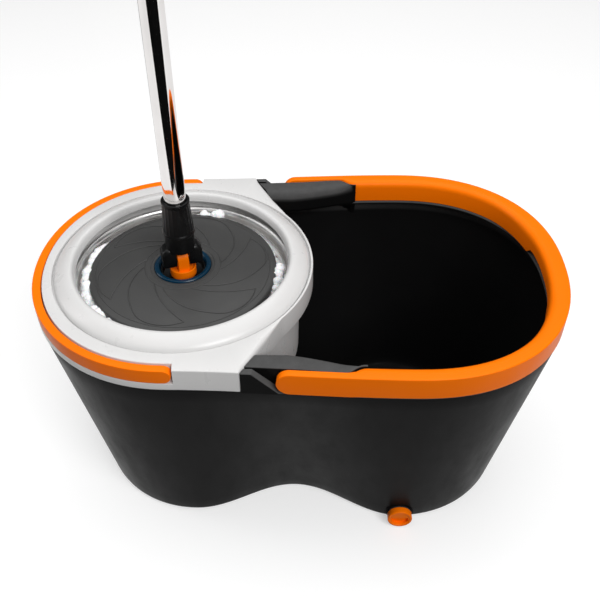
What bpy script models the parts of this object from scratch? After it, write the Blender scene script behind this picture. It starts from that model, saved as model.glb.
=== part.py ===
"""Spin mop set: a two-lobe bucket with a spin wringer, and a mop that stands in it.

Frame: metres, +Z up, +X from the wringer to the pouring end, origin under the middle of the bucket.
"""

import math

import bmesh
import bpy
import numpy as np
from mathutils import Matrix, Vector

# ---- driving dimensions -------------------------------------------------------------------------------------
GAP = 0.0003                    # clearance between pieces that touch
RIM_Z = 0.225                   # top of the carrying handle and of the wringer frame
SPIN_X = -0.100                 # axis of the basket and of the mop
RIM_DROP = 0.0210               # the bucket's own rim lies this far under RIM_Z
WALL = 0.0025                   # moulded wall thickness
FLOOR = 0.003                   # bucket floor thickness

# half outlines: (left centre x, half length, half width, right centre x, half length, half width, power, waist)
RIM = (SPIN_X, 0.1245, 0.1280, 0.090, 0.1345, 0.1355, 2.25, 0.0)
BASE = (SPIN_X + 0.004, 0.0935, 0.0935, 0.0915, 0.1000, 0.1000, 2.0, 0.0315)
CAP_STEPS = 16                  # steps round each end of an outline
SIDE_STEPS = 9                  # steps along each side

FRAME_END = SPIN_X + 0.0560     # where the wringer frame meets the shoulders, at the rim
WING_TIP = (0.0866, 0.0696)     # inner end of the frame's wing, from the basket axis
RING_R = 0.1085                 # outside of the splash ring
SKIRT_R = 0.1111                # the frame's skirt on the side over the wash basin
LIP_R = 0.0894                  # opening of the splash ring
BASKET_R = 0.0925               # middle of the basket's rolled rim

BAIL = (0.0070, 0.0135)         # width and height of the thin bail
BAIL_TIP = SPIN_X + 0.0050
BAIL_TOP = RIM_Z - 0.0006
HANDLE_W = 0.0140               # width of the carrying handle along the rim
ARM_W = 0.0063                  # width of its arms beside the shoulders
HANDLE_H = RIM_DROP - GAP       # its height
HANDLE_TIP = SPIN_X + 0.0834
ARM_END = SPIN_X + 0.1370       # where the arm begins to widen
HOOP_START = SPIN_X + 0.1540    # where it has its full width
PIVOT_R = 0.0030

PLUG = Vector((0.0920, -0.1030, 0.0130))   # face of the drain boss

PLATE_R = 0.0800                # mop plate
PLATE_Z = RIM_Z - 0.0070        # its upper edge
HUB_R = 0.0241
PIN_Z = RIM_Z + 0.0060          # axis of the yoke pin
PIN_TURN = math.radians(18)     # the pin's direction, turned from +X
TUBE_R = 0.0090
TUBE_BOTTOM = RIM_Z + 0.0360
TUBE_TOP = RIM_Z + 0.6200
COLLAR = (RIM_Z + 0.0330, RIM_Z + 0.0650)
UPPER_R = 0.0112
UPPER_BOTTOM = RIM_Z + 0.2600
UPPER_TOP = RIM_Z + 0.7700
HELIX_LEAD = 0.120              # handle travel for one turn of the basket
ROD = (0.0060, 0.0022)          # width and thickness of the twisted strip
ROD_SPAN = (RIM_Z + 0.3000, RIM_Z + 0.7400)
BUTTON_Z = RIM_Z + 0.0705
BUTTON_TURN = math.radians(-43)


# ---- materials ----------------------------------------------------------------------------------------------
def material(name, colour, roughness, metallic=0.0):
    mat = bpy.data.materials.get(name)
    if mat is None:
        mat = bpy.data.materials.new(name)
        mat.use_nodes = True
        shader = mat.node_tree.nodes["Principled BSDF"]
        shader.inputs["Base Color"].default_value = (*colour, 1.0)
        shader.inputs["Roughness"].default_value = roughness
        shader.inputs["Metallic"].default_value = metallic
        mat.diffuse_color = (*colour, 1.0)
    return mat


CHARCOAL = ("charcoal_plastic", (0.022, 0.022, 0.024), 0.45)
ORANGE = ("orange_plastic", (0.83, 0.19, 0.012), 0.35)
WHITE = ("white_plastic", (0.76, 0.75, 0.74), 0.30)
BLACK = ("black_plastic", (0.010, 0.010, 0.011), 0.35)
PLATE_GREY = ("plate_plastic", (0.055, 0.055, 0.056), 0.45)
BLUE = ("blue_plastic", (0.004, 0.055, 0.11), 0.25)
CHROME = ("chrome_steel", (0.85, 0.84, 0.83), 0.06, 1.0)
STEEL = ("stainless_steel", (0.62, 0.61, 0.60), 0.28, 1.0)
FIBRE = ("microfibre", (0.86, 0.86, 0.87), 0.95)
RUBBER = ("soft_rubber", (0.012, 0.012, 0.012), 0.8)
NYLON = ("nylon", (0.70, 0.68, 0.62), 0.5)


# ---- making objects -----------------------------------------------------------------------------------------
def clear_scene():
    for obj in list(bpy.data.objects):
        bpy.data.objects.remove(obj)


def new_object(name, bm, finish, parent=None, smooth=35):
    """Turns a bmesh built in world space into an object whose origin is its parent empty's place."""
    bmesh.ops.recalc_face_normals(bm, faces=bm.faces)
    mesh = bpy.data.meshes.new(name)
    if parent is not None:
        bm.transform(Matrix.Translation(-parent.location))
    bm.to_mesh(mesh)
    bm.free()
    mesh.shade_smooth()
    mesh.set_sharp_from_angle(angle=math.radians(smooth))
    obj = bpy.data.objects.new(name, mesh)
    bpy.context.scene.collection.objects.link(obj)
    obj.parent = parent
    mesh.materials.append(material(*finish))
    return obj


def joint_empty(name, place):
    """An empty on a joint's axis, which the moving pieces hang from."""
    empty = bpy.data.objects.new(name, None)
    empty.location = place
    empty.empty_display_size = 0.02
    bpy.context.scene.collection.objects.link(empty)
    return empty


def cut(obj, cutter, operation="DIFFERENCE"):
    """Booleans a helper object, which the build leaves out, into obj."""
    cutter.hide_render = True
    cutter.display_type = "WIRE"
    step = obj.modifiers.new(cutter.name, "BOOLEAN")
    step.operation = operation
    step.object = cutter


def add_rings(bm, rings, closed=False, caps=True):
    """Skins a list of rings with the same number of points, and caps or closes the ends."""
    rows = [[bm.verts.new(point) for point in ring] for ring in rings]
    count = len(rows[0])
    spans = len(rows) if closed else len(rows) - 1
    for i in range(spans):
        low, high = rows[i], rows[(i + 1) % len(rows)]
        for j in range(count):
            k = (j + 1) % count
            bm.faces.new((low[j], low[k], high[k], high[j]))
    if caps and not closed:
        bm.faces.new(rows[0])
        bm.faces.new(rows[-1])
    return rows


def lathe(bm, profile, centre=(0.0, 0.0), steps=48):
    """Turns a closed outline of (radius, z) points about a vertical axis; points on the axis make a solid."""
    start = Vector((centre[0], centre[1], 0.0))
    verts = [bm.verts.new(start + Vector((r, 0.0, z))) for r, z in profile]
    edges = [bm.edges.new((a, b)) for a, b in zip(verts, verts[1:] + verts[:1])
             if a.co.xy != start.xy or b.co.xy != start.xy]
    bmesh.ops.spin(bm, geom=verts + edges, cent=start, axis=(0, 0, 1), angle=2 * math.pi, steps=steps,
                   use_merge=True, use_duplicate=False)
    bmesh.ops.remove_doubles(bm, verts=bm.verts, dist=1e-6)


def turned(name, profile, finish, parent=None, centre=(SPIN_X, 0.0), steps=36):
    bm = bmesh.new()
    lathe(bm, profile, centre, steps)
    return new_object(name, bm, finish, parent)


def cylinder(bm, start, end, radius, end_radius=None, steps=24):
    """A capped cylinder or cone between two points."""
    start, end = Vector(start), Vector(end)
    axis = end - start
    turn = axis.to_track_quat("Z", "Y").to_matrix().to_4x4()
    place = Matrix.Translation((start + end) / 2) @ turn
    bmesh.ops.create_cone(bm, cap_ends=True, segments=steps, radius1=radius,
                          radius2=radius if end_radius is None else end_radius,
                          depth=axis.length, matrix=place)


def box(bm, low, high, place=Matrix.Identity(4)):
    low, high = Vector(low), Vector(high)
    size = Matrix.Diagonal((*(high - low), 1.0))
    bmesh.ops.create_cube(bm, size=1.0, matrix=place @ Matrix.Translation((low + high) / 2) @ size)


def helper(name, build, parent=None):
    """A cutter or a shape to be joined, made by a function that fills a bmesh."""
    bm = bmesh.new()
    build(bm)
    return new_object(name, bm, CHARCOAL, parent)


# ---- outlines -----------------------------------------------------------------------------------------------
def arc(centre_x, a, b, power, start):
    """Half a superellipse from the angle start, which is -90 or +90 degrees."""
    points = []
    for i in range(CAP_STEPS):
        t = math.radians(start + 180 * i / CAP_STEPS)
        c, s = math.cos(t), math.sin(t)
        points.append((centre_x + a * math.copysign(abs(c) ** (2 / power), c),
                       b * math.copysign(abs(s) ** (2 / power), s)))
    return points


def outline(shape):
    """A closed two-lobe outline, counter-clockwise, from the front of the right end."""
    left_x, left_a, left_b, right_x, right_a, right_b, power, waist = shape

    def along(t):
        """The back side's point at a share t of the way from the right end to the left."""
        x = right_x + (left_x - right_x) * t
        y = right_b + (left_b - right_b) * (3 * t * t - 2 * t ** 3)
        return x, y - waist * (1 - math.cos(2 * math.pi * t)) / 2

    back = [along(i / SIDE_STEPS) for i in range(SIDE_STEPS)]
    front = [(x, -y) for x, y in (along(1 - i / SIDE_STEPS) for i in range(SIDE_STEPS))]
    return np.array(arc(right_x, right_a, right_b, power, -90) + back
                    + arc(left_x, left_a, left_b, 2.0 + (power - 2.0) / 3, 90) + front)


def inset(points, distance):
    """Moves a closed counter-clockwise outline inwards along its normals."""
    along = np.roll(points, -1, 0) - np.roll(points, 1, 0)
    along /= np.linalg.norm(along, axis=1)[:, None]
    return points + distance * np.stack([-along[:, 1], along[:, 0]], 1)


RIM_LINE = outline(RIM)
BASE_LINE = outline(BASE)


def wall_line(z, depth=0.0):
    """The bucket's outside at a height, moved inwards by depth."""
    t = z / (RIM_Z - RIM_DROP)
    return inset(BASE_LINE + (inset(RIM_LINE, 0.0008) - BASE_LINE) * t, depth)


def half_width(points, x):
    """Half the width of an outline at x, along its sides."""
    back = [p for p in points if p[1] > 0]
    back.sort(key=lambda p: p[0])
    return float(np.interp(x, [p[0] for p in back], [p[1] for p in back]))


def at_height(points, z):
    return [(x, y, z) for x, y in points]


def ease(value, start, end):
    t = min(max((value - start) / (end - start), 0.0), 1.0)
    return t * t * (3 - 2 * t)


# ---- bucket -------------------------------------------------------------------------------------------------
def handle_width(x):
    """Width of the carrying handle beside the shoulders and along the rim."""
    return ARM_W + (HANDLE_W - ARM_W) * math.sin(math.pi / 2 * ease(x, ARM_END, HOOP_START))


def wing_edge(y):
    """Where the slanting edge of the white frame's wing lies at a distance y from the middle."""
    corner_y = half_width(RIM_LINE, FRAME_END) - 0.0004
    slope = (SPIN_X + WING_TIP[0] - FRAME_END) / (corner_y - WING_TIP[1])
    return FRAME_END + slope * (corner_y - y)


def swing_room(x):
    """Extra gap beside the handle's pivot, so that its curved arm clears the shoulder as it lifts."""
    start = handle_pivot().x + 0.0080
    return 0.0013 * (1 - ease(x, start, start + 0.0270))


def shoulder_rings(side):
    """Level rings of the wide shoulder that rolls over into the bucket; side is -1 in front, 1 behind."""
    left_out, right = wing_edge(0.1232) + 0.0008, HOOP_START - 0.0020
    shares = [(1 - math.cos(math.pi * i / 9)) / 2 for i in range(10)]
    # drop below the rim, and how far the rounded inner face lies outside its innermost line
    levels = [(0.0012, 0.0058), (0.0020, 0.0036), (0.0045, 0.0012), (0.0095, 0.0001), (0.0208, 0.0),
              (0.0300, 0.0090), (0.0380, 0.0240)]
    rings = []
    for drop, roll in levels:
        z = RIM_Z - drop
        wall = wall_line(z, 0.0012)
        outer, inner = [], []
        for share in shares:
            x = left_out + (right - left_out) * share
            reach = half_width(wall, x) if drop > RIM_DROP else (
                half_width(RIM_LINE, x) - handle_width(x + 0.0015) - 0.0004 - swing_room(x))
            outer.append((x, side * reach, z))
            left = wing_edge(0.1050 + roll) + 0.0008
            x = left + (right - left) * share
            deepest = 0.1050 + 0.0155 * max(0.0, (x - SPIN_X - 0.090) / 0.062) ** 1.3
            shrink = 1 - 0.75 * ease(x, SPIN_X + 0.130, right)
            inner.append((x, side * min(deepest + roll * shrink, reach - 0.0006), z))
        rings.append(outer + inner[::-1])
    return rings


def make_bucket():
    top = RIM_Z - RIM_DROP
    flange = 0.0135
    bm = bmesh.new()
    rings = [at_height(wall_line(0.0, 0.006), 0.0), at_height(wall_line(0.002, 0.0015), 0.002)]
    rings += [at_height(wall_line(z), z) for z in (0.007, 0.100, top - 0.004, top)]
    rings += [at_height(wall_line(top, flange), top), at_height(wall_line(top, flange), top - 0.003)]
    rings += [at_height(wall_line(z, WALL), z) for z in (top - 0.0045, 0.100, 0.010)]
    rings += [at_height(wall_line(0.0045, 0.006), 0.0045), at_height(wall_line(FLOOR, 0.010), FLOOR)]
    add_rings(bm, rings)
    bucket = new_object("bucket_body", bm, CHARCOAL)

    for side, word in ((-1, "front"), (1, "back")):
        cut(bucket, helper(f"shoulder_{word}", lambda b: add_rings(b, shoulder_rings(side))), "UNION")
        # the flush face beside the white frame ends in the slanting edge of the handle's recess
        low_z, high_z = RIM_Z - RIM_DROP - 0.001, RIM_Z - 0.0012
        rows = []
        for y in (0.1240, half_width(RIM_LINE, FRAME_END) - 0.0005):
            left = wing_edge(y) + 0.0006
            face = [(left, high_z), (SPIN_X + 0.0655, high_z), (SPIN_X + 0.0850, low_z + 0.0016),
                    (SPIN_X + 0.0852, low_z), (left, low_z)]
            rows.append([(x, side * y, z) for x, z in face])
        cut(bucket, helper(f"flush_{word}", lambda b: add_rings(b, rows)), "UNION")

    def floor_rings(b):
        for r_out, r_in in ((0.066, 0.063), (0.047, 0.044)):
            lathe(b, [(r_in, FLOOR - 0.001), (r_out, FLOOR - 0.001), (r_out - 0.0006, FLOOR + 0.0018),
                      (r_in + 0.0006, FLOOR + 0.0018)], (BASE[3], 0.0), 36)

    cut(bucket, helper("floor_rings", floor_rings), "UNION")

    def boss(b):
        cylinder(b, (PLUG.x, PLUG.y - 0.0003, PLUG.z + 0.0010), (PLUG.x, -0.0950, PLUG.z + 0.0010), 0.0125)

    cut(bucket, helper("drain_boss", boss), "UNION")

    def holes(b):
        cylinder(b, (PLUG.x, -0.1150, PLUG.z), (PLUG.x, -0.0850, PLUG.z), 0.0078)
        for side in (-1, 1):
            x, _, z = handle_pivot()
            y = side * (half_width(RIM_LINE, x) - ARM_W)
            cylinder(b, (x, y + side * 0.0030, z), (x, y - side * 0.0055, z), PIVOT_R + GAP)

    cut(bucket, helper("drain_recess",
                       lambda b: cylinder(b, (PLUG.x, -0.1200, PLUG.z), PLUG, 0.0131, steps=28)))
    cut(bucket, helper("bucket_holes", holes))
    return bucket


def handle_pivot():
    return Vector((HANDLE_TIP + HANDLE_H / 2, 0.0, RIM_Z - HANDLE_H / 2))


def bail_pivot():
    return Vector((BAIL_TIP - BAIL[1] / 2, 0.0, BAIL_TOP - BAIL[1] / 2))


# ---- carrying handle and bail -------------------------------------------------------------------------------
def round_tip_offsets(radius, steps=7):
    """Distances from a round tip, close together at its end."""
    return [radius * (1 - math.cos(math.pi / 2 * (i + 0.35) / steps)) for i in range(steps)]


def stations(tip_x, toward, radius, more_x=()):
    """Points of the rim outline from one tip round the end to the other, with the height scale of each.

    toward is 1 for the right end and -1 for the left end; more_x adds points along both sides.
    """
    line = [Vector((x, y)) for x, y in RIM_LINE]
    line = [p for p in line if not more_x or p.x > max(more_x) or p.x < min(more_x)]
    line += [Vector((x, side * half_width(RIM_LINE, x))) for x in more_x for side in (-1, 1)]
    middle = [p for p in line if (p.x - tip_x) * toward > radius * 1.15]
    middle.sort(key=lambda p: math.atan2(p.y, (p.x - tip_x) * toward))
    ends = []
    for offset in round_tip_offsets(radius) + [radius * 1.001]:
        x = tip_x + toward * offset
        ends.append((x, math.sqrt(max(radius ** 2 - (radius - offset) ** 2, 1e-8)) / radius))
    front = [(Vector((x, -half_width(RIM_LINE, x))), scale) for x, scale in ends]
    back = [(Vector((p.x, -p.y)), scale) for p, scale in reversed(front)]
    path = front + [(p, 1.0) for p in middle] + back
    out = []
    for i, (p, scale) in enumerate(path):
        before, after = path[max(i - 1, 0)][0], path[min(i + 1, len(path) - 1)][0]
        along = (after - before).normalized()
        out.append((p, Vector((-along.y, along.x)) * toward, scale))
    return out


def make_rim_handle(parent):
    """The U-shaped carrying handle: slim arms beside the shoulders, then a hollow hoop along the rim."""
    half = HANDLE_H / 2
    mid_z = RIM_Z - half
    rib = 0.0018
    rings = []
    widening = [ARM_END + (HOOP_START - ARM_END) * i / 4 for i in range(5)]
    for place, inward, scale in stations(HANDLE_TIP, 1, HANDLE_H / 2, widening):
        width = handle_width(place.x) + 0.0025 * ease(place.x, 0.185, 0.2245)
        slim = width < ARM_W + 0.0010
        round_r = 0.0010 if slim else min(0.0095, width - 0.0035)
        lift = 0.0070 * (1 - ease(abs(place.y), 0.040, 0.047)) if place.x > 0.15 else 0.0
        # roof of the hollow underneath, which the slim arms don't have
        roof = 0.0006 - half if slim else half - 0.0035
        roof_in = roof if slim else half - round_r - 0.0015 + min(0.0, round_r - 0.008)
        section = [(0.0, -half), (0.0, half - 0.0012), (0.0012, half), (width - round_r, half)]
        section += [(width - round_r * (1 - math.sin(a)), half - round_r * (1 - math.cos(a)))
                    for a in (math.pi / 8, math.pi / 4, 3 * math.pi / 8, math.pi / 2)]
        section += [(width, -half + lift), (width - rib, -half + lift), (width - rib, roof_in),
                    (width - rib - 0.35 * (width - 2 * rib), roof), (rib, roof), (rib, -half)]
        rings.append([(*(place + inward * d), mid_z + z * scale) for d, z in section])
    bm = bmesh.new()
    add_rings(bm, rings)
    handle = new_object("rim_handle", bm, ORANGE, parent)

    def stubs(b):
        for side in (-1, 1):
            x, y = handle_pivot().x, side * (half_width(RIM_LINE, handle_pivot().x) - ARM_W)
            cylinder(b, (x, y + side * 0.0030, mid_z), (x, y - side * 0.0045, mid_z), PIVOT_R)

    cut(handle, helper("handle_stubs", stubs, parent), "UNION")
    return handle


def make_front_bail(parent):
    width, height = BAIL
    mid_z = BAIL_TOP - height / 2
    rings = []
    for place, inward, scale in stations(BAIL_TIP, -1, height / 2):
        half, edge = height / 2, 0.0009
        section = [(0.0, -half + edge), (0.0, half - edge), (edge, half), (width - edge, half),
                   (width, half - edge), (width, -half + edge), (width - edge, -half), (edge, -half)]
        rings.append([(*(place + inward * d), mid_z + z * scale) for d, z in section])
    bm = bmesh.new()
    add_rings(bm, rings)
    bail = new_object("front_bail", bm, ORANGE, parent)

    def stubs(b):
        for side in (-1, 1):
            x, y = bail_pivot().x, side * (half_width(RIM_LINE, bail_pivot().x) - width)
            cylinder(b, (x, y + side * 0.0030, mid_z), (x, y - side * 0.0040, mid_z), PIVOT_R)

    cut(bail, helper("bail_stubs", stubs, parent), "UNION")
    return bail


# ---- wringer ------------------------------------------------------------------------------------------------
def frame_stations():
    """Directions round the basket axis, each with the frame's reach and which zone it belongs to."""
    half = []
    tip_x, tip_y = WING_TIP
    for i in range(6):
        half.append((math.radians(i * 38.4 / 5), SKIRT_R, "free"))
    for i in range(4):
        t = i / 3
        x = tip_x + (FRAME_END - SPIN_X - tip_x) * t
        y = tip_y + (half_width(RIM_LINE, FRAME_END) - 0.0004 - tip_y) * t
        half.append((math.atan2(y, x), math.hypot(x, y), "wing"))
    notch = BAIL_TIP + 0.0012
    for x in (0.040, 0.022):
        half.append((SPIN_X + x, "side"))
    half += [(notch, "side"), (notch - 0.0003, "bail"), (SPIN_X - 0.010, "bail")]
    out = []
    for item in half:
        if len(item) == 2:
            x, zone = item
            y = half_width(RIM_LINE, x) - 0.0004
            item = (math.atan2(y, x - SPIN_X), math.hypot(x - SPIN_X, y), zone)
        out.append(item)
    for x, y in RIM_LINE:
        if y >= -1e-6 and x < SPIN_X - 0.018:
            out.append((math.atan2(abs(y), x - SPIN_X), math.hypot(x - SPIN_X, y) - 0.0004, "bail"))
    out.sort()
    mirrored = [(-angle, reach, zone) for angle, reach, zone in out if 1e-6 < angle < math.pi - 1e-3]
    return sorted(out + mirrored)


def frame_section(reach, zone):
    """The frame's closed section in one direction as (radius, z): up the outside, then down the basin."""
    seat = RIM_Z - 0.0035
    foot = RIM_Z - RIM_DROP + GAP
    wide = RING_R + 0.0010
    if zone == "bail":
        back = reach - BAIL[0] - 0.0006
        ledge = BAIL_TOP - BAIL[1] - 0.0004
        inner = max(back - WALL, wide)
        rim = [(reach, foot), (reach, ledge), (back, ledge), (back, RIM_Z - 0.0008), (back - 0.0008, RIM_Z)]
        under = [(inner, ledge - WALL), (reach - 0.0012, foot)]
    else:
        back = reach - 0.0008
        inner = max(reach - WALL, wide)
        rim = [(reach, foot), (reach, RIM_Z - 0.0012), (back, RIM_Z - 0.0004), (back, RIM_Z - 0.00005),
               (back - 0.0008, RIM_Z)]
        under = [(inner, foot + 0.0020), (inner, foot)]
    rim.append((RING_R + 0.0008, RIM_Z))
    roof = RIM_Z - WALL if inner > wide + 0.001 else seat - 0.0020
    under = [(wide - 0.0012, seat - 0.0028), (wide - 0.0003, seat - 0.0026), (inner, roof)] + under
    basin = [(RING_R + 0.0006, seat), (0.0985, seat), (0.0972, seat - 0.010), (0.0955, RIM_Z - 0.0900),
             (0.0905, RIM_Z - 0.0955), (0.0260, RIM_Z - 0.0965), (0.0170, RIM_Z - 0.0930),
             (0.0064, RIM_Z - 0.0930), (0.0064, RIM_Z - 0.1120), (0.0170, RIM_Z - 0.1120),
             (0.0200, RIM_Z - 0.0995), (0.0920, RIM_Z - 0.0985), (0.0980, RIM_Z - 0.0915),
             (0.0998, seat - 0.010), (0.1012, seat - 0.0028)]
    return rim + basin + under


def make_wringer_frame():
    rings = []
    for angle, reach, zone in frame_stations():
        rings.append([(SPIN_X + r * math.cos(angle), r * math.sin(angle), z)
                      for r, z in frame_section(reach, zone)])
    bm = bmesh.new()
    add_rings(bm, rings, closed=True)
    frame = new_object("wringer_frame", bm, WHITE, smooth=28)

    def holes(b):
        for side in (-1, 1):
            x, _, z = bail_pivot()
            y = side * (half_width(RIM_LINE, x) - BAIL[0])
            cylinder(b, (x, y + side * 0.0020, z), (x, y - side * 0.0060, z), PIVOT_R + GAP, steps=16)
        for i in range(8):
            a = math.radians(22.5 + 45 * i)
            x, y = SPIN_X + 0.060 * math.cos(a), 0.060 * math.sin(a)
            cylinder(b, (x, y, RIM_Z - 0.110), (x, y, RIM_Z - 0.090), 0.0090, steps=12)

    cut(frame, helper("frame_holes", holes))
    return frame


def make_wringer():
    make_wringer_frame()
    z = RIM_Z - 0.0035 + GAP
    turned("splash_ring",
           [(RING_R - 0.0006, z), (RING_R - 0.0010, z + 0.0020), (0.1058, z + 0.0044), (0.1028, z + 0.0067),
            (0.0990, z + 0.0088), (0.0955, z + 0.0100), (0.0930, z + 0.0101), (0.0913, z + 0.0090),
            (0.0901, z + 0.0066), (LIP_R, z + 0.0036), (LIP_R, z + 0.0028), (0.0908, z + 0.0032),
            (0.0915, z + 0.0056), (0.0928, z + 0.0079), (0.0945, z + 0.0084), (0.0980, z + 0.0072),
            (0.1030, z + 0.0042), (0.1056, z)], WHITE, steps=40)
    turned("axle_bush", [(0.0061, RIM_Z - 0.1125), (0.0061, RIM_Z - 0.0926), (0.0095, RIM_Z - 0.0926),
                         (0.0095, RIM_Z - 0.0905), (0.0043, RIM_Z - 0.0905), (0.0043, RIM_Z - 0.1125)],
           NYLON, steps=24)


def make_basket(parent):
    """A thin perforated shell with a rolled rim; square holes stand for the fine perforation."""
    around, thickness = 40, 0.0010
    floor_z, rim_z = RIM_Z - 0.0820, RIM_Z - 0.0110
    wall = [(0.0260, floor_z), (0.0500, floor_z), (0.0780, floor_z), (0.0830, floor_z + 0.0050)]
    rows = 5
    for i in range(1, rows):
        t = i / (rows - 1)
        wall.append((0.0830 + 0.0065 * t, floor_z + 0.0050 + (rim_z - 0.0040 - floor_z - 0.0050) * t))
    roll = [(BASKET_R - 0.0026 * math.cos(a), rim_z + 0.0026 * math.sin(a))
            for a in np.radians([0, 60, 120, 180])]
    profile = wall + roll
    bm = bmesh.new()
    grid = []
    for i in range(around):
        a = 2 * math.pi * i / around
        grid.append([bm.verts.new((SPIN_X + r * math.cos(a), r * math.sin(a), z)) for r, z in profile])
    for i in range(around):
        this, after = grid[i], grid[(i + 1) % around]
        for j in range(len(profile) - 1):
            hole = (j in (4, 6) and i % 2 == 0) or (j == 1 and i % 5 == 0)
            if not hole:
                bm.faces.new((this[j], after[j], after[j + 1], this[j + 1]))
    shell = new_object("spin_basket", bm, STEEL, parent)
    skin = shell.modifiers.new("sheet", "SOLIDIFY")
    skin.thickness = thickness
    skin.offset = 0.0

    hub_top = RIM_Z - 0.0420
    bm = bmesh.new()
    lathe(bm, [(0.0, floor_z + 0.0010), (0.0340, floor_z + 0.0010), (0.0340, floor_z + 0.0035),
               (0.0200, floor_z + 0.0060), (0.0130, hub_top), (0.0090, hub_top), (0.0080, hub_top - 0.0120),
               (0.0, hub_top - 0.0120)], (SPIN_X, 0.0), 24)
    new_object("basket_hub", bm, BLACK, parent)
    turned("basket_axle", [(0.0, RIM_Z - 0.1260), (0.0040, RIM_Z - 0.1260), (0.0040, floor_z - 0.0040),
                           (0.0240, floor_z - 0.0040), (0.0240, floor_z + 0.0007 - 0.0018),
                           (0.0, floor_z + 0.0007 - 0.0018)], STEEL, parent, steps=24)
    turned("axle_washer", [(0.0044, RIM_Z - 0.1142), (0.0110, RIM_Z - 0.1142), (0.0110, RIM_Z - 0.1130),
                           (0.0044, RIM_Z - 0.1130)], STEEL, parent, steps=24)
    bm = bmesh.new()
    cylinder(bm, (SPIN_X, 0, RIM_Z - 0.1210), (SPIN_X, 0, RIM_Z - 0.1146), 0.0080, steps=6)
    nut = new_object("axle_nut", bm, STEEL, parent)
    cut(nut, helper("nut_bore", lambda b: cylinder(b, (SPIN_X, 0, RIM_Z - 0.13), (SPIN_X, 0, RIM_Z - 0.10),
                                                   0.0040 + GAP, steps=24), parent))


# ---- mop head -----------------------------------------------------------------------------------------------
def pin_frame(z=PIN_Z):
    """Axes at the yoke pin: X along the pin, Z up."""
    return Matrix.Translation((SPIN_X, 0.0, z)) @ Matrix.Rotation(PIN_TURN, 4, "Z")


def make_mop_head(parent):
    z = PLATE_Z
    hub_z = RIM_Z - 0.0020
    turned("mop_plate", [(HUB_R + GAP, hub_z - 0.0065), (HUB_R + GAP, hub_z - 0.0012), (0.030, hub_z - 0.0008),
                         (0.045, hub_z - 0.0016), (0.062, z + 0.0020), (0.074, z + 0.0006), (0.079, z - 0.0004),
                         (PLATE_R, z - 0.0018), (PLATE_R, z - 0.0060), (PLATE_R - 0.0020, z - 0.0060),
                         (PLATE_R - 0.0024, z - 0.0030), (0.062, z - 0.0010), (0.045, hub_z - 0.0046),
                         (0.032, hub_z - 0.0065)], PLATE_GREY, parent, steps=40)
    turned("refill_ring", [(0.0500, z - 0.0090), (0.0765, z - 0.0090), (0.0765, z - 0.0060),
                           (0.0600, z - 0.0050), (0.0500, z - 0.0062)], WHITE, parent)
    turned("microfibre", [(0.0360, z - 0.0480), (0.0420, z - 0.0560), (0.0650, z - 0.0600),
                          (0.0780, z - 0.0540), (0.0800, z - 0.0300), (0.0855, z - 0.0120), (0.0855, z - 0.0060),
                          (0.0835, z - 0.0030), (0.0806, z - 0.0040), (0.0806, z - 0.0094),
                          (0.0420, z - 0.0094), (0.0360, z - 0.0200)], FIBRE, parent, steps=28)
    turned("hub_bezel", [(0.0192, hub_z - 0.0065), (HUB_R, hub_z - 0.0065), (HUB_R, hub_z - 0.0006),
                         (0.0232, hub_z + 0.0003), (0.0205, hub_z), (0.0192, hub_z - 0.0020)],
           BLUE, parent)
    turned("head_hub", [(0.0, RIM_Z - 0.0410), (0.0070, RIM_Z - 0.0410), (0.0076, hub_z - 0.0150),
                        (0.0300, hub_z - 0.0125), (0.0300, hub_z - 0.0068), (0.0189, hub_z - 0.0068),
                        (0.0189, hub_z - 0.0030), (0.0176, hub_z - 0.0030), (0.0172, hub_z - 0.0092),
                        (0.0, hub_z - 0.0092)], BLACK, parent)

    bm = bmesh.new()
    cylinder(bm, (SPIN_X, 0, hub_z - 0.0089), (SPIN_X, 0, hub_z - 0.0012), 0.0112, 0.0108, steps=24)
    knuckle = new_object("knuckle", bm, ORANGE, parent)
    here = pin_frame()

    cut(knuckle, helper("knuckle_tongue", lambda b: box(b, (-0.00465, -0.0074, hub_z - 0.0060 - PIN_Z),
                                                        (0.00465, 0.0074, 0.0), here), parent), "UNION")
    cut(knuckle, helper("knuckle_round", lambda b: cylinder(b, here @ Vector((-0.0047, 0, 0)),
                                                            here @ Vector((0.0047, 0, 0)), 0.0075, steps=28),
                        parent), "UNION")
    cut(knuckle, helper("knuckle_bore", lambda b: cylinder(b, here @ Vector((-0.02, 0, 0)),
                                                           here @ Vector((0.02, 0, 0)), 0.0020 + GAP, steps=16),
                        parent))
    bm = bmesh.new()
    cylinder(bm, here @ Vector((-0.0168, 0, 0)), here @ Vector((0.0168, 0, 0)), 0.0020, steps=16)
    new_object("yoke_pin", bm, CHROME, parent)


# ---- mop handle ---------------------------------------------------------------------------------------------
def make_yoke(parent):
    here = pin_frame()
    bm = bmesh.new()
    lathe(bm, [(0.0, PIN_Z + 0.0105), (0.0122, PIN_Z + 0.0105), (0.0122, COLLAR[0] - GAP),
               (0.0, COLLAR[0] - GAP)], (SPIN_X, 0.0), 24)
    yoke = new_object("yoke", bm, BLACK, parent)
    # an ear's outline across the pin: a flat bottom, and shoulders that slope in to the neck
    ear = [(-0.0075, -0.0030), (-0.0060, -0.0045), (0.0060, -0.0045), (0.0075, -0.0030), (0.0075, 0.0110),
           (0.0060, 0.0135), (-0.0060, 0.0135), (-0.0075, 0.0110)]
    for side, word in ((-1, "left"), (1, "right")):
        rows = [[here @ Vector((side * x, y, min(z, top))) for y, z in ear]
                for x, top in ((0.0053, 0.0135), (0.0130, 0.0135), (0.0170, 0.0115))]
        cut(yoke, helper(f"ear_{word}", lambda b: add_rings(b, rows), parent), "UNION")
    cut(yoke, helper("yoke_bore", lambda b: cylinder(
        b, here @ Vector((-0.02, 0, 0)), here @ Vector((0.02, 0, 0)), 0.0020 + GAP, steps=16), parent))
    return yoke


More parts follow.
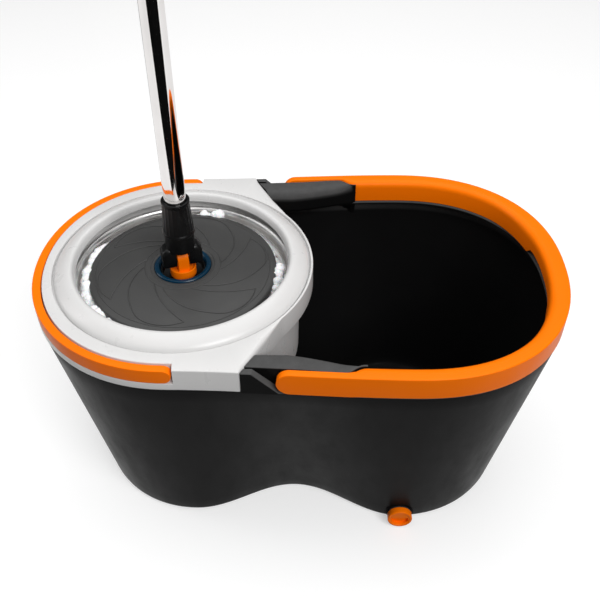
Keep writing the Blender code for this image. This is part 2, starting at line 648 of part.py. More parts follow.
def make_socket(parent):
    """The ribbed collar with a lip at each end, bored for the tube."""
    low, high = COLLAR
    turned("socket_collar",
           [(TUBE_R + GAP, low), (0.0132, low), (0.0136, low + 0.0008), (0.0132, low + 0.0018),
            (0.0128, low + 0.0022), (0.0110, high - 0.0026), (0.0116, high - 0.0020), (0.0116, high - 0.0006),
            (0.0110, high), (TUBE_R + GAP, high)], BLACK, parent, steps=24)


def make_lower_tube(parent):
    bore = TUBE_R - 0.0011
    tube = turned("lower_tube", [(bore, TUBE_BOTTOM), (TUBE_R, TUBE_BOTTOM), (TUBE_R, TUBE_TOP),
                                 (bore, TUBE_TOP)], CHROME, parent, steps=28)
    out = Vector((math.cos(BUTTON_TURN), math.sin(BUTTON_TURN), 0.0))
    centre = Vector((SPIN_X, 0.0, BUTTON_Z))
    cut(tube, helper("button_hole", lambda b: cylinder(b, centre + out * 0.004, centre + out * 0.012, 0.0026,
                                                       steps=16), parent))
    nut_low = TUBE_TOP - 0.0200
    bm = bmesh.new()
    lathe(bm, [(0.0, nut_low), (bore - GAP, nut_low), (bore - GAP, TUBE_TOP + GAP), (TUBE_R, TUBE_TOP + GAP),
               (TUBE_R - 0.0004, TUBE_TOP + 0.0030), (0.0, TUBE_TOP + 0.0030)], (SPIN_X, 0.0), 24)
    nut = new_object("drive_nut", bm, NYLON, parent)
    cut(nut, helper("nut_room", lambda b: cylinder(b, (SPIN_X, 0, nut_low - 0.002), (SPIN_X, 0, TUBE_TOP),
                                                   0.0052, steps=20), parent))
    # the strip's slot at the top of the nut, turned to match the strip there
    slot_z = TUBE_TOP + 0.0015
    slot = Matrix.Translation((SPIN_X, 0, slot_z)) @ Matrix.Rotation(twist_at(slot_z), 4, "Z")
    half_w, half_t = ROD[0] / 2 + 0.0005, ROD[1] / 2 + 0.0006
    cut(nut, helper("nut_slot", lambda b: box(b, (-half_w, -half_t, -0.004), (half_w, half_t, 0.004), slot),
                    parent))


def make_button(parent):
    out = Vector((math.cos(BUTTON_TURN), math.sin(BUTTON_TURN), 0.0))
    centre = Vector((SPIN_X, 0.0, BUTTON_Z))
    bm = bmesh.new()
    cylinder(bm, centre + out * 0.0062, centre + out * 0.0098, 0.0023, steps=20)
    button = new_object("snap_button", bm, CHROME, parent)
    crown = button.modifiers.new("crown", "BEVEL")
    crown.width = 0.0006
    crown.segments = 2
    crown.angle_limit = math.radians(60)


def twist_at(z):
    """Angle of the strip's broad face at a height; left-handed, one turn for each lead."""
    return -2 * math.pi * (z - TUBE_TOP) / HELIX_LEAD


def make_drive_rod(parent):
    low, high = ROD_SPAN
    steps = int((high - low) / HELIX_LEAD * 20)
    rings = []
    for i in range(steps + 1):
        z = low + (high - low) * i / steps
        a = twist_at(z)
        half_w, half_t = ROD[0] / 2, ROD[1] / 2
        rings.append([(SPIN_X + x * math.cos(a) - y * math.sin(a), x * math.sin(a) + y * math.cos(a), z)
                      for x, y in ((-half_w, -half_t), (half_w, -half_t), (half_w, half_t), (-half_w, half_t))])
    bm = bmesh.new()
    add_rings(bm, rings)
    new_object("drive_rod", bm, STEEL, parent)


def make_upper_handle(parent):
    bore = UPPER_R - 0.0011
    turned("upper_tube", [(bore, UPPER_BOTTOM + 0.010), (UPPER_R, UPPER_BOTTOM + 0.010), (UPPER_R, UPPER_TOP),
                          (bore, UPPER_TOP)], CHROME, parent, steps=28)
    turned("rod_anchor", [(0.0, ROD_SPAN[1] + GAP), (bore - GAP, ROD_SPAN[1] + GAP),
                          (bore - GAP, ROD_SPAN[1] + 0.0180), (0.0, ROD_SPAN[1] + 0.0180)], NYLON, parent, steps=24)
    low = UPPER_BOTTOM
    turned("lock_body", [(TUBE_R + 0.0012, low), (0.0134, low), (0.0140, low + 0.0010), (0.0140, low + 0.0090),
                         (0.0118, low + 0.0094), (0.0118, low + 0.0395), (UPPER_R + GAP, low + 0.0395),
                         (UPPER_R + GAP, low + 0.0097), (TUBE_R + 0.0012, low + 0.0097)], BLACK, parent, steps=24)
    grip_low, grip_high = UPPER_TOP - 0.1250, UPPER_TOP - 0.0050
    turned("grip", [(UPPER_R + GAP, grip_low), (0.0138, grip_low), (0.0150, grip_low + 0.002),
                    (0.0150, grip_high - 0.001), (0.0142, grip_high), (UPPER_R + GAP, grip_high)],
           RUBBER, parent, steps=28)
    bm = bmesh.new()
    lathe(bm, [(0.0, UPPER_TOP - 0.0080), (bore - GAP, UPPER_TOP - 0.0080), (bore - GAP, UPPER_TOP + GAP),
               (0.0145, UPPER_TOP + GAP), (0.0145, UPPER_TOP + 0.0060), (0.0115, UPPER_TOP + 0.0100),
               (0.0, UPPER_TOP + 0.0110)], (SPIN_X, 0.0), 24)
    cap = new_object("end_cap", bm, ORANGE, parent)
    eye_z = UPPER_TOP + 0.0200

    def eye(b):
        cylinder(b, (SPIN_X, -0.0030, eye_z), (SPIN_X, 0.0030, eye_z), 0.0115, steps=24)

    cut(cap, helper("cap_eye", eye, parent), "UNION")
    cut(cap, helper("eye_hole", lambda b: cylinder(b, (SPIN_X, -0.010, eye_z + 0.001),
                                                   (SPIN_X, 0.010, eye_z + 0.001), 0.0065, steps=24), parent))


def make_lock_sleeve(parent):
    low = UPPER_BOTTOM + 0.0097
    profile = [(0.0121, low), (0.0142, low), (0.0148, low + 0.0012), (0.0148, low + 0.0250),
               (0.0135, low + 0.0295), (0.0121, low + 0.0295)]
    sleeve = turned("lock_sleeve", profile, ORANGE, parent, steps=24)

    def grooves(b):
        for i in range(10):
            a = 2 * math.pi * i / 10
            x, y = SPIN_X + 0.0156 * math.cos(a), 0.0156 * math.sin(a)
            cylinder(b, (x, y, low + 0.004), (x, y, low + 0.021), 0.0016, steps=8)

    cut(sleeve, helper("sleeve_grooves", grooves, parent))


def make_slide_bush(parent):
    low = UPPER_BOTTOM + 0.0104
    bore = UPPER_R - 0.0011
    turned("slide_bush", [(TUBE_R + GAP, low), (bore - GAP, low), (bore - GAP, low + 0.0300),
                          (TUBE_R + GAP, low + 0.0300)], NYLON, parent, steps=24)


# ---- drain --------------------------------------------------------------------------------------------------
def make_drain(parent):
    """Push-in plug lying along Y, with a finger hollow in its face, and its sealing ring."""
    face = PLUG.y - 0.0022
    bm = bmesh.new()
    cylinder(bm, (PLUG.x, face - 0.0060, PLUG.z), (PLUG.x, face, PLUG.z), 0.0112, steps=36)
    plug = new_object("drain_plug", bm, ORANGE, parent)
    cut(plug, helper("plug_stem", lambda b: cylinder(b, (PLUG.x, face - 0.001, PLUG.z),
                                                     (PLUG.x, -0.0915, PLUG.z), 0.0070, 0.0064, steps=24), parent),
        "UNION")

    def hollow(b):
        cylinder(b, (PLUG.x, face - 0.0080, PLUG.z - 0.001), (PLUG.x, face - 0.0020, PLUG.z - 0.001), 0.0080,
                 steps=24)

    cut(plug, helper("plug_hollow", hollow, parent))
    bar = helper("plug_bar", lambda b: box(b, (PLUG.x - 0.0090, face - 0.0059, PLUG.z + 0.0020),
                                           (PLUG.x + 0.0090, face - 0.0010, PLUG.z + 0.0060)), parent)
    cut(plug, bar, "UNION")
    profile = [(0.0073, 0.0), (0.0106, 0.0), (0.0106, 0.0016), (0.0073, 0.0016)]
    bm = bmesh.new()
    lathe(bm, profile, (0.0, 0.0), 28)
    bm.transform(Matrix.Translation((PLUG.x, PLUG.y - 0.0003, PLUG.z)) @ Matrix.Rotation(math.pi / 2, 4, "X"))
    new_object("drain_seal", bm, RUBBER, parent)


# ---- assembly -----------------------------------------------------------------------------------------------
def main():
    clear_scene()
    axis = Vector((SPIN_X, 0.0, 0.0))
    lift = joint_empty("rim_handle_pivot", handle_pivot())
    bail = joint_empty("front_bail_pivot", bail_pivot())
    spin = joint_empty("basket_axis", axis)
    head = joint_empty("mop_axis", axis)
    tilt = joint_empty("yoke_pin_axis", Vector((SPIN_X, 0.0, PIN_Z)))
    plug = joint_empty("drain_axis", PLUG)
    make_bucket()
    make_rim_handle(lift)
    make_front_bail(bail)
    make_wringer()
    make_basket(spin)
    make_mop_head(head)
    make_yoke(tilt)
    make_socket(tilt)
    make_lower_tube(tilt)
    make_button(tilt)
    make_drive_rod(tilt)
    make_slide_bush(tilt)
    make_upper_handle(tilt)
    make_lock_sleeve(tilt)
    make_drain(plug)


main()
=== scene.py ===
"""Looks of the spin mop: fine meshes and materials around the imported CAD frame.

Metres, +Z up, +X from the wringer to the pouring end, origin on the floor under the middle of the bucket.
"""

import math

import bmesh
import bpy
import numpy as np
from mathutils import Matrix, Vector


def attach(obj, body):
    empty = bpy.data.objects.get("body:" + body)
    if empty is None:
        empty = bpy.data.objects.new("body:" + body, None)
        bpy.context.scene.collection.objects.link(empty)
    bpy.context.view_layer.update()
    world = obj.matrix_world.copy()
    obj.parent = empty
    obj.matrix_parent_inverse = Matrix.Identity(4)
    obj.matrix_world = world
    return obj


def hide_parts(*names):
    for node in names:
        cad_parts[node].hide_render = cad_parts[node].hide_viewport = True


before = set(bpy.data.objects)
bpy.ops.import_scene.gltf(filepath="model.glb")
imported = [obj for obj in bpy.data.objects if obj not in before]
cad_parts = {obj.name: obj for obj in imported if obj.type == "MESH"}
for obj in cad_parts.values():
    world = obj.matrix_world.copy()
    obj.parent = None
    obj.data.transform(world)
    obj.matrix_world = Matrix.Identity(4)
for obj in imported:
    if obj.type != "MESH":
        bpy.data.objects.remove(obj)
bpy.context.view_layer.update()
rng = np.random.default_rng(7)

# ---- dimensions, as in the CAD ----
GAP = 0.0003
RIM_Z = 0.225
SPIN_X = -0.100
RIM_DROP = 0.0210
TOP_Z = RIM_Z - RIM_DROP
WALL = 0.0025
FLOOR = 0.003
RIM = (SPIN_X, 0.1245, 0.1280, 0.090, 0.1345, 0.1355, 2.25, 0.0)
BASE = (SPIN_X + 0.004, 0.0935, 0.0935, 0.0915, 0.1000, 0.1000, 2.0, 0.0315)
FRAME_END = SPIN_X + 0.0560
WING_TIP = (0.0866, 0.0696)
RING_R = 0.1085
SKIRT_R = 0.1111
LIP_R = 0.0894
BASKET_R = 0.0925
BAIL = (0.0070, 0.0135)
BAIL_TIP = SPIN_X + 0.0050
BAIL_TOP = RIM_Z - 0.0006
HANDLE_W = 0.0140
ARM_W = 0.0063
HANDLE_H = RIM_DROP - GAP
HANDLE_TIP = SPIN_X + 0.0834
ARM_END = SPIN_X + 0.1370
HOOP_START = SPIN_X + 0.1540
PLUG = Vector((0.0920, -0.1030, 0.0130))
PLATE_R = 0.0800
PLATE_Z = RIM_Z - 0.0070
HUB_R = 0.0241
HUB_Z = RIM_Z - 0.0020
PIN_Z = RIM_Z + 0.0060
PIN_TURN = math.radians(18)
PIN_R = 0.0020
TUBE_R = 0.0090
TUBE_BOTTOM = RIM_Z + 0.0360
TUBE_TOP = RIM_Z + 0.6200
COLLAR = (RIM_Z + 0.0330, RIM_Z + 0.0650)
UPPER_R = 0.0112
UPPER_BOTTOM = RIM_Z + 0.2600
UPPER_TOP = RIM_Z + 0.7700
BUTTON_Z = RIM_Z + 0.0705
BUTTON_TURN = math.radians(-43)
BASKET_FLOOR = RIM_Z - 0.0820
BASKET_RIM = RIM_Z - 0.0110
STRANDS = 84
PETALS = 6
BASIN_HOLES = 8
COLLAR_RIBS = 22
SLEEVE_FLUTES = 10
GRIP_WAVES = 9
TWIST_PITCH = 0.120


# ---- small mathematics ----
def ease(value, start, end):
    t = min(max((value - start) / (end - start), 0.0), 1.0)
    return t * t * (3 - 2 * t)


def polar(r, angle, z):
    """A point given by its distance and direction from the basket's axis."""
    return SPIN_X + r * math.cos(angle), r * math.sin(angle), z


def outline(shape, cap_steps=60, side_steps=60):
    """A closed two-lobe outline, counter-clockwise, from the front of the right end."""
    left_x, left_a, left_b, right_x, right_a, right_b, power, waist = shape

    def along(t):
        x = right_x + (left_x - right_x) * t
        y = right_b + (left_b - right_b) * (3 * t * t - 2 * t ** 3)
        return x, y - waist * (1 - math.cos(2 * math.pi * t)) / 2

    def arc(centre_x, a, b, exponent, start):
        points = []
        for i in range(cap_steps):
            t = math.radians(start + 180 * i / cap_steps)
            c, s = math.cos(t), math.sin(t)
            points.append((centre_x + a * math.copysign(abs(c) ** (2 / exponent), c),
                           b * math.copysign(abs(s) ** (2 / exponent), s)))
        return points

    back = [along(i / side_steps) for i in range(side_steps)]
    front = [(x, -y) for x, y in (along(1 - i / side_steps) for i in range(side_steps))]
    return np.array(arc(right_x, right_a, right_b, power, -90) + back
                    + arc(left_x, left_a, left_b, 2.0 + (power - 2.0) / 3, 90) + front)


def inset(points, distance):
    """Moves a closed counter-clockwise outline inwards along its normals."""
    along = np.roll(points, -1, 0) - np.roll(points, 1, 0)
    along /= np.linalg.norm(along, axis=1)[:, None]
    return points + distance * np.stack([-along[:, 1], along[:, 0]], 1)


RIM_LINE = outline(RIM)
BASE_LINE = outline(BASE)
RIM_INSET = inset(RIM_LINE, 0.0008)


def wall_line(z, depth=0.0):
    """The bucket's outside at a height, moved inwards by depth."""
    return inset(BASE_LINE + (RIM_INSET - BASE_LINE) * (z / TOP_Z), depth)


def half_width(points, x):
    back = points[points[:, 1] > 0]
    back = back[np.argsort(back[:, 0])]
    return float(np.interp(x, back[:, 0], back[:, 1]))


def spline(points, steps=8, closed=False):
    """Catmull-Rom curve through points of any dimension."""
    p = np.array(points, float)
    if closed:
        p = np.vstack([p[-1:], p, p[:2]])
    else:
        p = np.vstack([2 * p[0] - p[1], p, 2 * p[-1] - p[-2]])
    t = (np.arange(steps) / steps)[:, None]
    out = []
    for a, b, c, d in zip(p, p[1:], p[2:], p[3:]):
        out.append(0.5 * (2 * b + (c - a) * t + (2 * a - 5 * b + 4 * c - d) * t ** 2
                          + (3 * b - a - 3 * c + d) * t ** 3))
    if not closed:
        out.append(p[-2:-1])
    return np.vstack(out)


def fillet(profile, radius=0.0004, steps=3, base=0.0):
    """Rounds a closed outline's corners.

    A third number in a point is its own radius, 0 keeps it sharp; heights are given from base.
    """
    points = [np.array((p[0], base + p[1]), float) for p in profile]
    radii = [p[2] if len(p) > 2 else radius for p in profile]
    out = []
    for i, here in enumerate(points):
        before = points[i - 1] - here
        after = points[(i + 1) % len(points)] - here
        la, lb = np.linalg.norm(before), np.linalg.norm(after)
        reach = min(la, lb) * 0.46
        if radii[i] <= 0 or reach < 1e-6:
            out += [here] * (steps + 1)
            continue
        cosine = float(np.clip(before @ after / la / lb, -1, 1))
        half = math.acos(cosine) / 2
        cut = min(radii[i] / max(math.tan(half), 1e-3), reach)
        a, b = here + before / la * cut, here + after / lb * cut
        for k in range(steps + 1):
            t = k / steps
            out.append((1 - t) ** 2 * a + 2 * t * (1 - t) * here + t * t * b)
    return out


# ---- meshes ----
def skin(bm, rings, closed=False, caps=True):
    rows = [[bm.verts.new(point) for point in ring] for ring in rings]
    count = len(rows[0])
    for i in range(len(rows) if closed else len(rows) - 1):
        low, high = rows[i], rows[(i + 1) % len(rows)]
        for j in range(count):
            k = (j + 1) % count
            bm.faces.new((low[j], low[k], high[k], high[j]))
    if caps and not closed:
        bm.faces.new(rows[0])
        bm.faces.new(rows[-1])


def lathe(bm, profile, centre=(SPIN_X, 0.0), steps=96):
    """Turns a closed (radius, z) outline; points on the axis make it solid."""
    start = Vector((centre[0], centre[1], 0.0))
    verts = [bm.verts.new(start + Vector((max(r, 0.0), 0.0, z))) for r, z in profile]
    edges = [bm.edges.new((a, b)) for a, b in zip(verts, verts[1:] + verts[:1])
             if a.co.x != start.x or b.co.x != start.x]
    bmesh.ops.spin(bm, geom=verts + edges, cent=start, axis=(0, 0, 1), angle=2 * math.pi, steps=steps,
                   use_merge=True, use_duplicate=False)
    bmesh.ops.remove_doubles(bm, verts=bm.verts, dist=2e-6)


def cylinder(bm, start, end, radius, end_radius=None, steps=48):
    start, end = Vector(start), Vector(end)
    axis = end - start
    turn = axis.to_track_quat("Z", "Y").to_matrix().to_4x4()
    bmesh.ops.create_cone(bm, cap_ends=True, segments=steps, radius1=radius,
                          radius2=radius if end_radius is None else end_radius, depth=axis.length,
                          matrix=Matrix.Translation((start + end) / 2) @ turn)


def tube(bm, path, radii, sides):
    """A round tube along a path, with a radius at each point and closed ends."""
    path = np.array(path, float)
    radii = np.broadcast_to(np.array(radii, float), len(path))
    along = np.gradient(path, axis=0)
    along /= np.linalg.norm(along, axis=1)[:, None] + 1e-12
    side = np.cross(along[0], (0.31, 0.52, 0.79))
    angles = np.arange(sides) * 2 * np.pi / sides
    rings = []
    for point, direction, radius in zip(path, along, radii):
        side = side - direction * (side @ direction)
        side /= np.linalg.norm(side) + 1e-12
        other = np.cross(direction, side)
        rings.append([point + radius * (math.cos(a) * side + math.sin(a) * other) for a in angles])
    skin(bm, rings)


def to_object(name, bm, smooth=32):
    bmesh.ops.recalc_face_normals(bm, faces=bm.faces)
    mesh = bpy.data.meshes.new(name)
    bm.to_mesh(mesh)
    bm.free()
    mesh.shade_smooth()
    mesh.set_sharp_from_angle(angle=math.radians(smooth))
    obj = bpy.data.objects.new(name, mesh)
    bpy.context.scene.collection.objects.link(obj)
    return obj


def build(name, make, smooth=32):
    bm = bmesh.new()
    make(bm)
    return to_object(name, bm, smooth)


def combine(obj, steps, smooth=32):
    """Applies a list of (operation, function that fills a bmesh) booleans to obj's mesh."""
    helpers = []
    for operation, make in steps:
        helper = build("helper", make)
        helpers.append(helper)
        modifier = obj.modifiers.new("shape", "BOOLEAN")
        modifier.operation = operation
        modifier.object = helper
        modifier.solver = "EXACT"
    graph = bpy.context.evaluated_depsgraph_get()
    mesh = bpy.data.meshes.new_from_object(obj.evaluated_get(graph))
    obj.modifiers.clear()
    obj.data = mesh
    mesh.name = obj.name
    mesh.shade_smooth()
    mesh.set_sharp_from_angle(angle=math.radians(smooth))
    for helper in helpers:
        bpy.data.objects.remove(helper)
    return obj


def soften(obj, width, segments=2, angle=40):
    """Rounds an object's sharp edges."""
    modifier = obj.modifiers.new("edges", "BEVEL")
    modifier.width = width
    modifier.segments = segments
    modifier.limit_method = "ANGLE"
    modifier.angle_limit = math.radians(angle)
    return obj


# ---- materials ----
def new_material(name, colour, rough, metallic=0.0, **more):
    mat = bpy.data.materials.new(name)
    mat.use_nodes = True
    shader = mat.node_tree.nodes["Principled BSDF"]
    shader.inputs["Base Color"].default_value = (*colour, 1.0)
    shader.inputs["Roughness"].default_value = rough
    shader.inputs["Metallic"].default_value = metallic
    for key, value in more.items():
        shader.inputs[key.replace("_", " ")].default_value = value
    mat.diffuse_color = (*colour, 1.0)
    return mat, mat.node_tree, shader


def noise(tree, scale, detail=3.0, stretch=None, rough=0.5):
    """A noise texture in the object's own metres, stretched along an axis if asked."""
    nodes, links = tree.nodes, tree.links
    place = nodes.new("ShaderNodeTexCoord")
    texture = nodes.new("ShaderNodeTexNoise")
    texture.inputs["Scale"].default_value = scale
    texture.inputs["Detail"].default_value = detail
    texture.inputs["Roughness"].default_value = rough
    if stretch:
        mapping = nodes.new("ShaderNodeMapping")
        mapping.inputs["Scale"].default_value = stretch
        links.new(place.outputs["Object"], mapping.inputs["Vector"])
        links.new(mapping.outputs["Vector"], texture.inputs["Vector"])
    else:
        links.new(place.outputs["Object"], texture.inputs["Vector"])
    return texture.outputs["Fac"]


def span(tree, value, low, high, from_low=0.3, from_high=0.7):
    node = tree.nodes.new("ShaderNodeMapRange")
    node.inputs["From Min"].default_value = from_low
    node.inputs["From Max"].default_value = from_high
    node.inputs["To Min"].default_value = low
    node.inputs["To Max"].default_value = high
    tree.links.new(value, node.inputs["Value"])
    return node.outputs["Result"]


def blend_colour(tree, factor, low, high):
    node = tree.nodes.new("ShaderNodeMix")
    node.data_type = "RGBA"
    node.inputs["A"].default_value = (*low, 1.0)
    node.inputs["B"].default_value = (*high, 1.0)
    tree.links.new(factor, node.inputs["Factor"])
    return node.outputs["Result"]


def relief(tree, shader, heights):
    """Chains bumps: a list of (value, strength, distance in metres)."""
    last = None
    for value, strength, distance in heights:
        node = tree.nodes.new("ShaderNodeBump")
        node.inputs["Strength"].default_value = strength
        node.inputs["Distance"].default_value = distance
        tree.links.new(value, node.inputs["Height"])
        if last:
            tree.links.new(last, node.inputs["Normal"])
        last = node.outputs["Normal"]
    tree.links.new(last, shader.inputs["Normal"])


def scaled(colour, factor):
    return tuple(min(c * factor, 1.0) for c in colour)


def plastic(name, colour, rough, spread=0.05, grain=0.12, grain_scale=2600, wave=0.10, **more):
    """Moulded plastic: cloudy colour, uneven gloss, a fine grain and the faint waviness of a moulding."""
    mat, tree, shader = new_material(name, colour, rough, **more)
    cloud = noise(tree, 14, 4)
    tint = blend_colour(tree, span(tree, cloud, 0, 1), scaled(colour, 1 - spread), scaled(colour, 1 + spread))
    tree.links.new(tint, shader.inputs["Base Color"])
    smear = noise(tree, 55, 5, stretch=(1.0, 1.0, 0.35), rough=0.65)
    tree.links.new(span(tree, smear, max(rough - 0.06, 0.03), rough + 0.08), shader.inputs["Roughness"])
    relief(tree, shader, [(noise(tree, 38, 2), wave, 0.0006), (noise(tree, grain_scale, 2), grain, 0.00005)])
    return mat


def product(tree, first, second):
    node = tree.nodes.new("ShaderNodeMath")
    node.operation = "MULTIPLY"
    tree.links.new(first, node.inputs[0])
    tree.links.new(second, node.inputs[1])
    return node.outputs["Value"]


def z_of(tree, vector):
    node = tree.nodes.new("ShaderNodeSeparateXYZ")
    tree.links.new(vector, node.inputs["Vector"])
    return node.outputs["Z"]


def paint_top_light(mat, colour, low, high):
    """Painted light: lightens the faces that look up, above a height near the rim, towards a flat grey, broken
    up a little by noise.
    """
    tree = mat.node_tree
    nodes, links = tree.nodes, tree.links
    shader = nodes["Principled BSDF"]
    under = shader.inputs["Base Color"].links[0].from_socket
    up = z_of(tree, nodes.new("ShaderNodeNewGeometry").outputs["Normal"])
    height = z_of(tree, nodes.new("ShaderNodeTexCoord").outputs["Object"])
    # painted light mask: faces that look up, above the height band
    share = product(tree, span(tree, up, 0.0, 1.0, 0.02, 0.22), span(tree, height, 0.0, 1.0, low, high))
    share = product(tree, share, span(tree, noise(tree, 120, 6, rough=0.7), 0.8, 1.0))
    mix = nodes.new("ShaderNodeMix")
    mix.data_type = "RGBA"
    mix.inputs["B"].default_value = (*colour, 1.0)
    links.new(share, mix.inputs["Factor"])
    links.new(under, mix.inputs["A"])
    links.new(mix.outputs["Result"], shader.inputs["Base Color"])


def metal(name, colour, rough, stretch=(1.0, 1.0, 0.02), scale=900, lines=0.05):
    """Rolled or drawn metal: hair lines along the work, and smudges in the gloss."""
    mat, tree, shader = new_material(name, colour, rough, 1.0)
    hair = noise(tree, scale, 3, stretch=stretch)
    smudge = noise(tree, 30, 5, rough=0.6)
    tree.links.new(blend_colour(tree, span(tree, smudge, 0, 1), scaled(colour, 0.93), scaled(colour, 1.03)),
                   shader.inputs["Base Color"])
    tree.links.new(span(tree, smudge, rough * 0.7, rough * 1.5), shader.inputs["Roughness"])
    relief(tree, shader, [(hair, lines, 0.00003)])
    return mat


def fibre(name, colour):
    """Chenille yarn: a fluffy pile, its colour darkened with painted shade where the pile's bump is low,
    between the loops.
    """
    mat, tree, shader = new_material(name, colour, 0.95, Sheen_Weight=0.35, Sheen_Roughness=0.5,
                                     Subsurface_Weight=0.15, Subsurface_Scale=0.002)
    pile = noise(tree, 900, 6, rough=0.7)
    # painted shade: the colour darkens where the pile noise, which also raises the bump, is low
    tree.links.new(blend_colour(tree, span(tree, pile, 0, 1, 0.25, 0.6), scaled(colour, 0.90), colour),
                   shader.inputs["Base Color"])
    relief(tree, shader, [(noise(tree, 420, 3), 0.6, 0.0010), (pile, 0.7, 0.0004)])
    return mat


def foam(name, colour):
    mat, tree, shader = new_material(name, colour, 0.85)
    cells = noise(tree, 1500, 3, rough=0.7)
    tree.links.new(blend_colour(tree, span(tree, cells, 0, 1), scaled(colour, 0.6), scaled(colour, 1.5)),
                   shader.inputs["Base Color"])
    relief(tree, shader, [(cells, 0.5, 0.0003)])
    return mat


CHARCOAL = plastic("charcoal_plastic", (0.0055, 0.0055, 0.0056), 0.36, spread=0.12, grain=0.25,
                   Specular_IOR_Level=0.03)
# painted light: the charcoal's upward faces near the rim are lightened to a grey
paint_top_light(CHARCOAL, (0.082, 0.082, 0.082), 0.188, 0.197)
ORANGE = plastic("orange_plastic", (1.0, 0.185, 0.0006), 0.36, spread=0.03, Specular_IOR_Level=0.09)
WHITE = plastic("white_plastic", (0.665, 0.66, 0.655), 0.30, spread=0.02, grain=0.06)
BLACK = plastic("black_plastic", (0.003, 0.003, 0.0032), 0.30, spread=0.15, Specular_IOR_Level=0.22)
PLATE = plastic("plate_plastic", (0.048, 0.048, 0.0475), 0.36, spread=0.06, grain=0.2,
                Specular_IOR_Level=0.30)
BLUE = plastic("blue_plastic", (0.0005, 0.021, 0.046), 0.22, spread=0.12, grain=0.04, Specular_IOR_Level=0.25)
NYLON = plastic("nylon", (0.70, 0.68, 0.62), 0.5)
CHROME = metal("chrome_steel", (0.74, 0.72, 0.71), 0.045, lines=0.02)
STEEL = metal("stainless_steel", (0.88, 0.87, 0.86), 0.44, stretch=(1.0, 1.0, 6.0), scale=500, lines=0.15)
FIBRE = fibre("microfibre", (0.95, 0.95, 0.955))
RUBBER = foam("soft_rubber", (0.014, 0.014, 0.015))


def place(obj, material, body, *nodes):
    """Finishes a piece: its material, the body it rides on and the CAD nodes it stands for."""
    obj.data.materials.clear()
    obj.data.materials.append(material)
    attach(obj, body)
    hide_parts(*nodes)
    return obj


# ---- bucket ----
HANDLE_PIVOT = Vector((HANDLE_TIP + HANDLE_H / 2, 0.0, RIM_Z - HANDLE_H / 2))
BAIL_PIVOT = Vector((BAIL_TIP - BAIL[1] / 2, 0.0, BAIL_TOP - BAIL[1] / 2))
PIVOT_R = 0.0030


def pivots(bm, pivot, depth, outward, inward, radius):
    """A pair of pins, or of holes for them, in the rim's front and back at a pivot."""
    y = half_width(RIM_LINE, pivot.x) - depth
    for side in (-1, 1):
        ends = [(pivot.x, side * reach, pivot.z) for reach in (y + outward, y - inward)]
        cylinder(bm, *ends, radius)


def along_plug(bm, start_y, end_y, radius, end_radius=None, rise=0.0, steps=48):
    z = PLUG.z + rise
    cylinder(bm, (PLUG.x, start_y, z), (PLUG.x, end_y, z), radius, end_radius, steps)


def handle_width(x):
    return ARM_W + (HANDLE_W - ARM_W) * math.sin(math.pi / 2 * ease(x, ARM_END, HOOP_START))


def wing_edge(y):
    corner_y = half_width(RIM_LINE, FRAME_END) - 0.0004
    slope = (SPIN_X + WING_TIP[0] - FRAME_END) / (corner_y - WING_TIP[1])
    return FRAME_END + slope * (corner_y - y)


def swing_room(x):
    start = HANDLE_PIVOT.x + 0.0080
    return 0.0013 * (1 - ease(x, start, start + 0.0270))


def shoulder_rings(side):
    """Level rings of the wide shoulder that rolls over into the bucket; side is -1 in front, 1 behind."""
    left_out, right = wing_edge(0.1232) + 0.0008, HOOP_START - 0.0020
    shares = [(1 - math.cos(math.pi * i / 40)) / 2 for i in range(41)]
    drops = [0.0012, 0.0013, 0.0015, 0.0019, 0.0024, 0.0031, 0.0040, 0.0051, 0.0064, 0.0079, 0.0096, 0.0120,
             0.0150, 0.0180, 0.0209, 0.0211, 0.0235, 0.0260, 0.0290, 0.0320, 0.0350, 0.0380]
    rings = []
    for i, drop in enumerate(drops):
        z = RIM_Z - drop
        wall = wall_line(z, 0.0012)
        t = min((drop - 0.0012) / 0.0098, 1.0)
        roll = 0.0060 * (1 - math.sqrt(1 - (1 - t) ** 2)) + 0.0240 * ease(drop, 0.0205, 0.0380)
        edge = 0.0006 * (1 - math.sqrt(1 - max(0.0, 1 - (drop - 0.0012) / 0.0006) ** 2))
        outer, inner = [], []
        for share in shares:
            x = left_out + (right - left_out) * share
            reach = half_width(wall, x) if drop > RIM_DROP else (
                half_width(RIM_LINE, x) - handle_width(x + 0.0015) - 0.0004 - swing_room(x))
            outer.append((x, side * (reach - edge), z))
            left = wing_edge(0.1050 + roll) + 0.0008
            x = left + (right - left) * share
            deepest = 0.1050 + 0.0155 * max(0.0, (x - SPIN_X - 0.090) / 0.062) ** 1.3
            shrink = 1 - 0.75 * ease(x, SPIN_X + 0.130, right)
            inner.append((x, side * min(deepest + roll * shrink, reach - edge - 0.0006), z))
        rings.append(outer + inner[::-1])
    return rings


def flush_rows(side):
    """The flush face beside the white frame, whose far edge slants down into the handle's recess."""
    low_z, high_z = TOP_Z - 0.0010, RIM_Z - 0.0012
    rows = []
    for inner_y, rim_inset, edge in ((0.1240, None, 0.0), (None, 0.0012, 0.0), (None, 0.0008, 0.0001),
                                     (None, 0.0005, 0.0005)):
        left = wing_edge(inner_y or half_width(RIM_LINE, FRAME_END) - 0.0005) + 0.0006 + edge
        face = [(left, high_z - edge), (SPIN_X + 0.0655 - edge, high_z - edge, 0.0012),
                (SPIN_X + 0.0850 - edge, low_z + 0.0016, 0.0008), (SPIN_X + 0.0852 - edge, low_z),
                (left, low_z)]
        rows.append([(x, side * (inner_y or half_width(RIM_LINE, x) - rim_inset), z)
                     for x, z in fillet(face, 0.0002, 5)])
    return rows


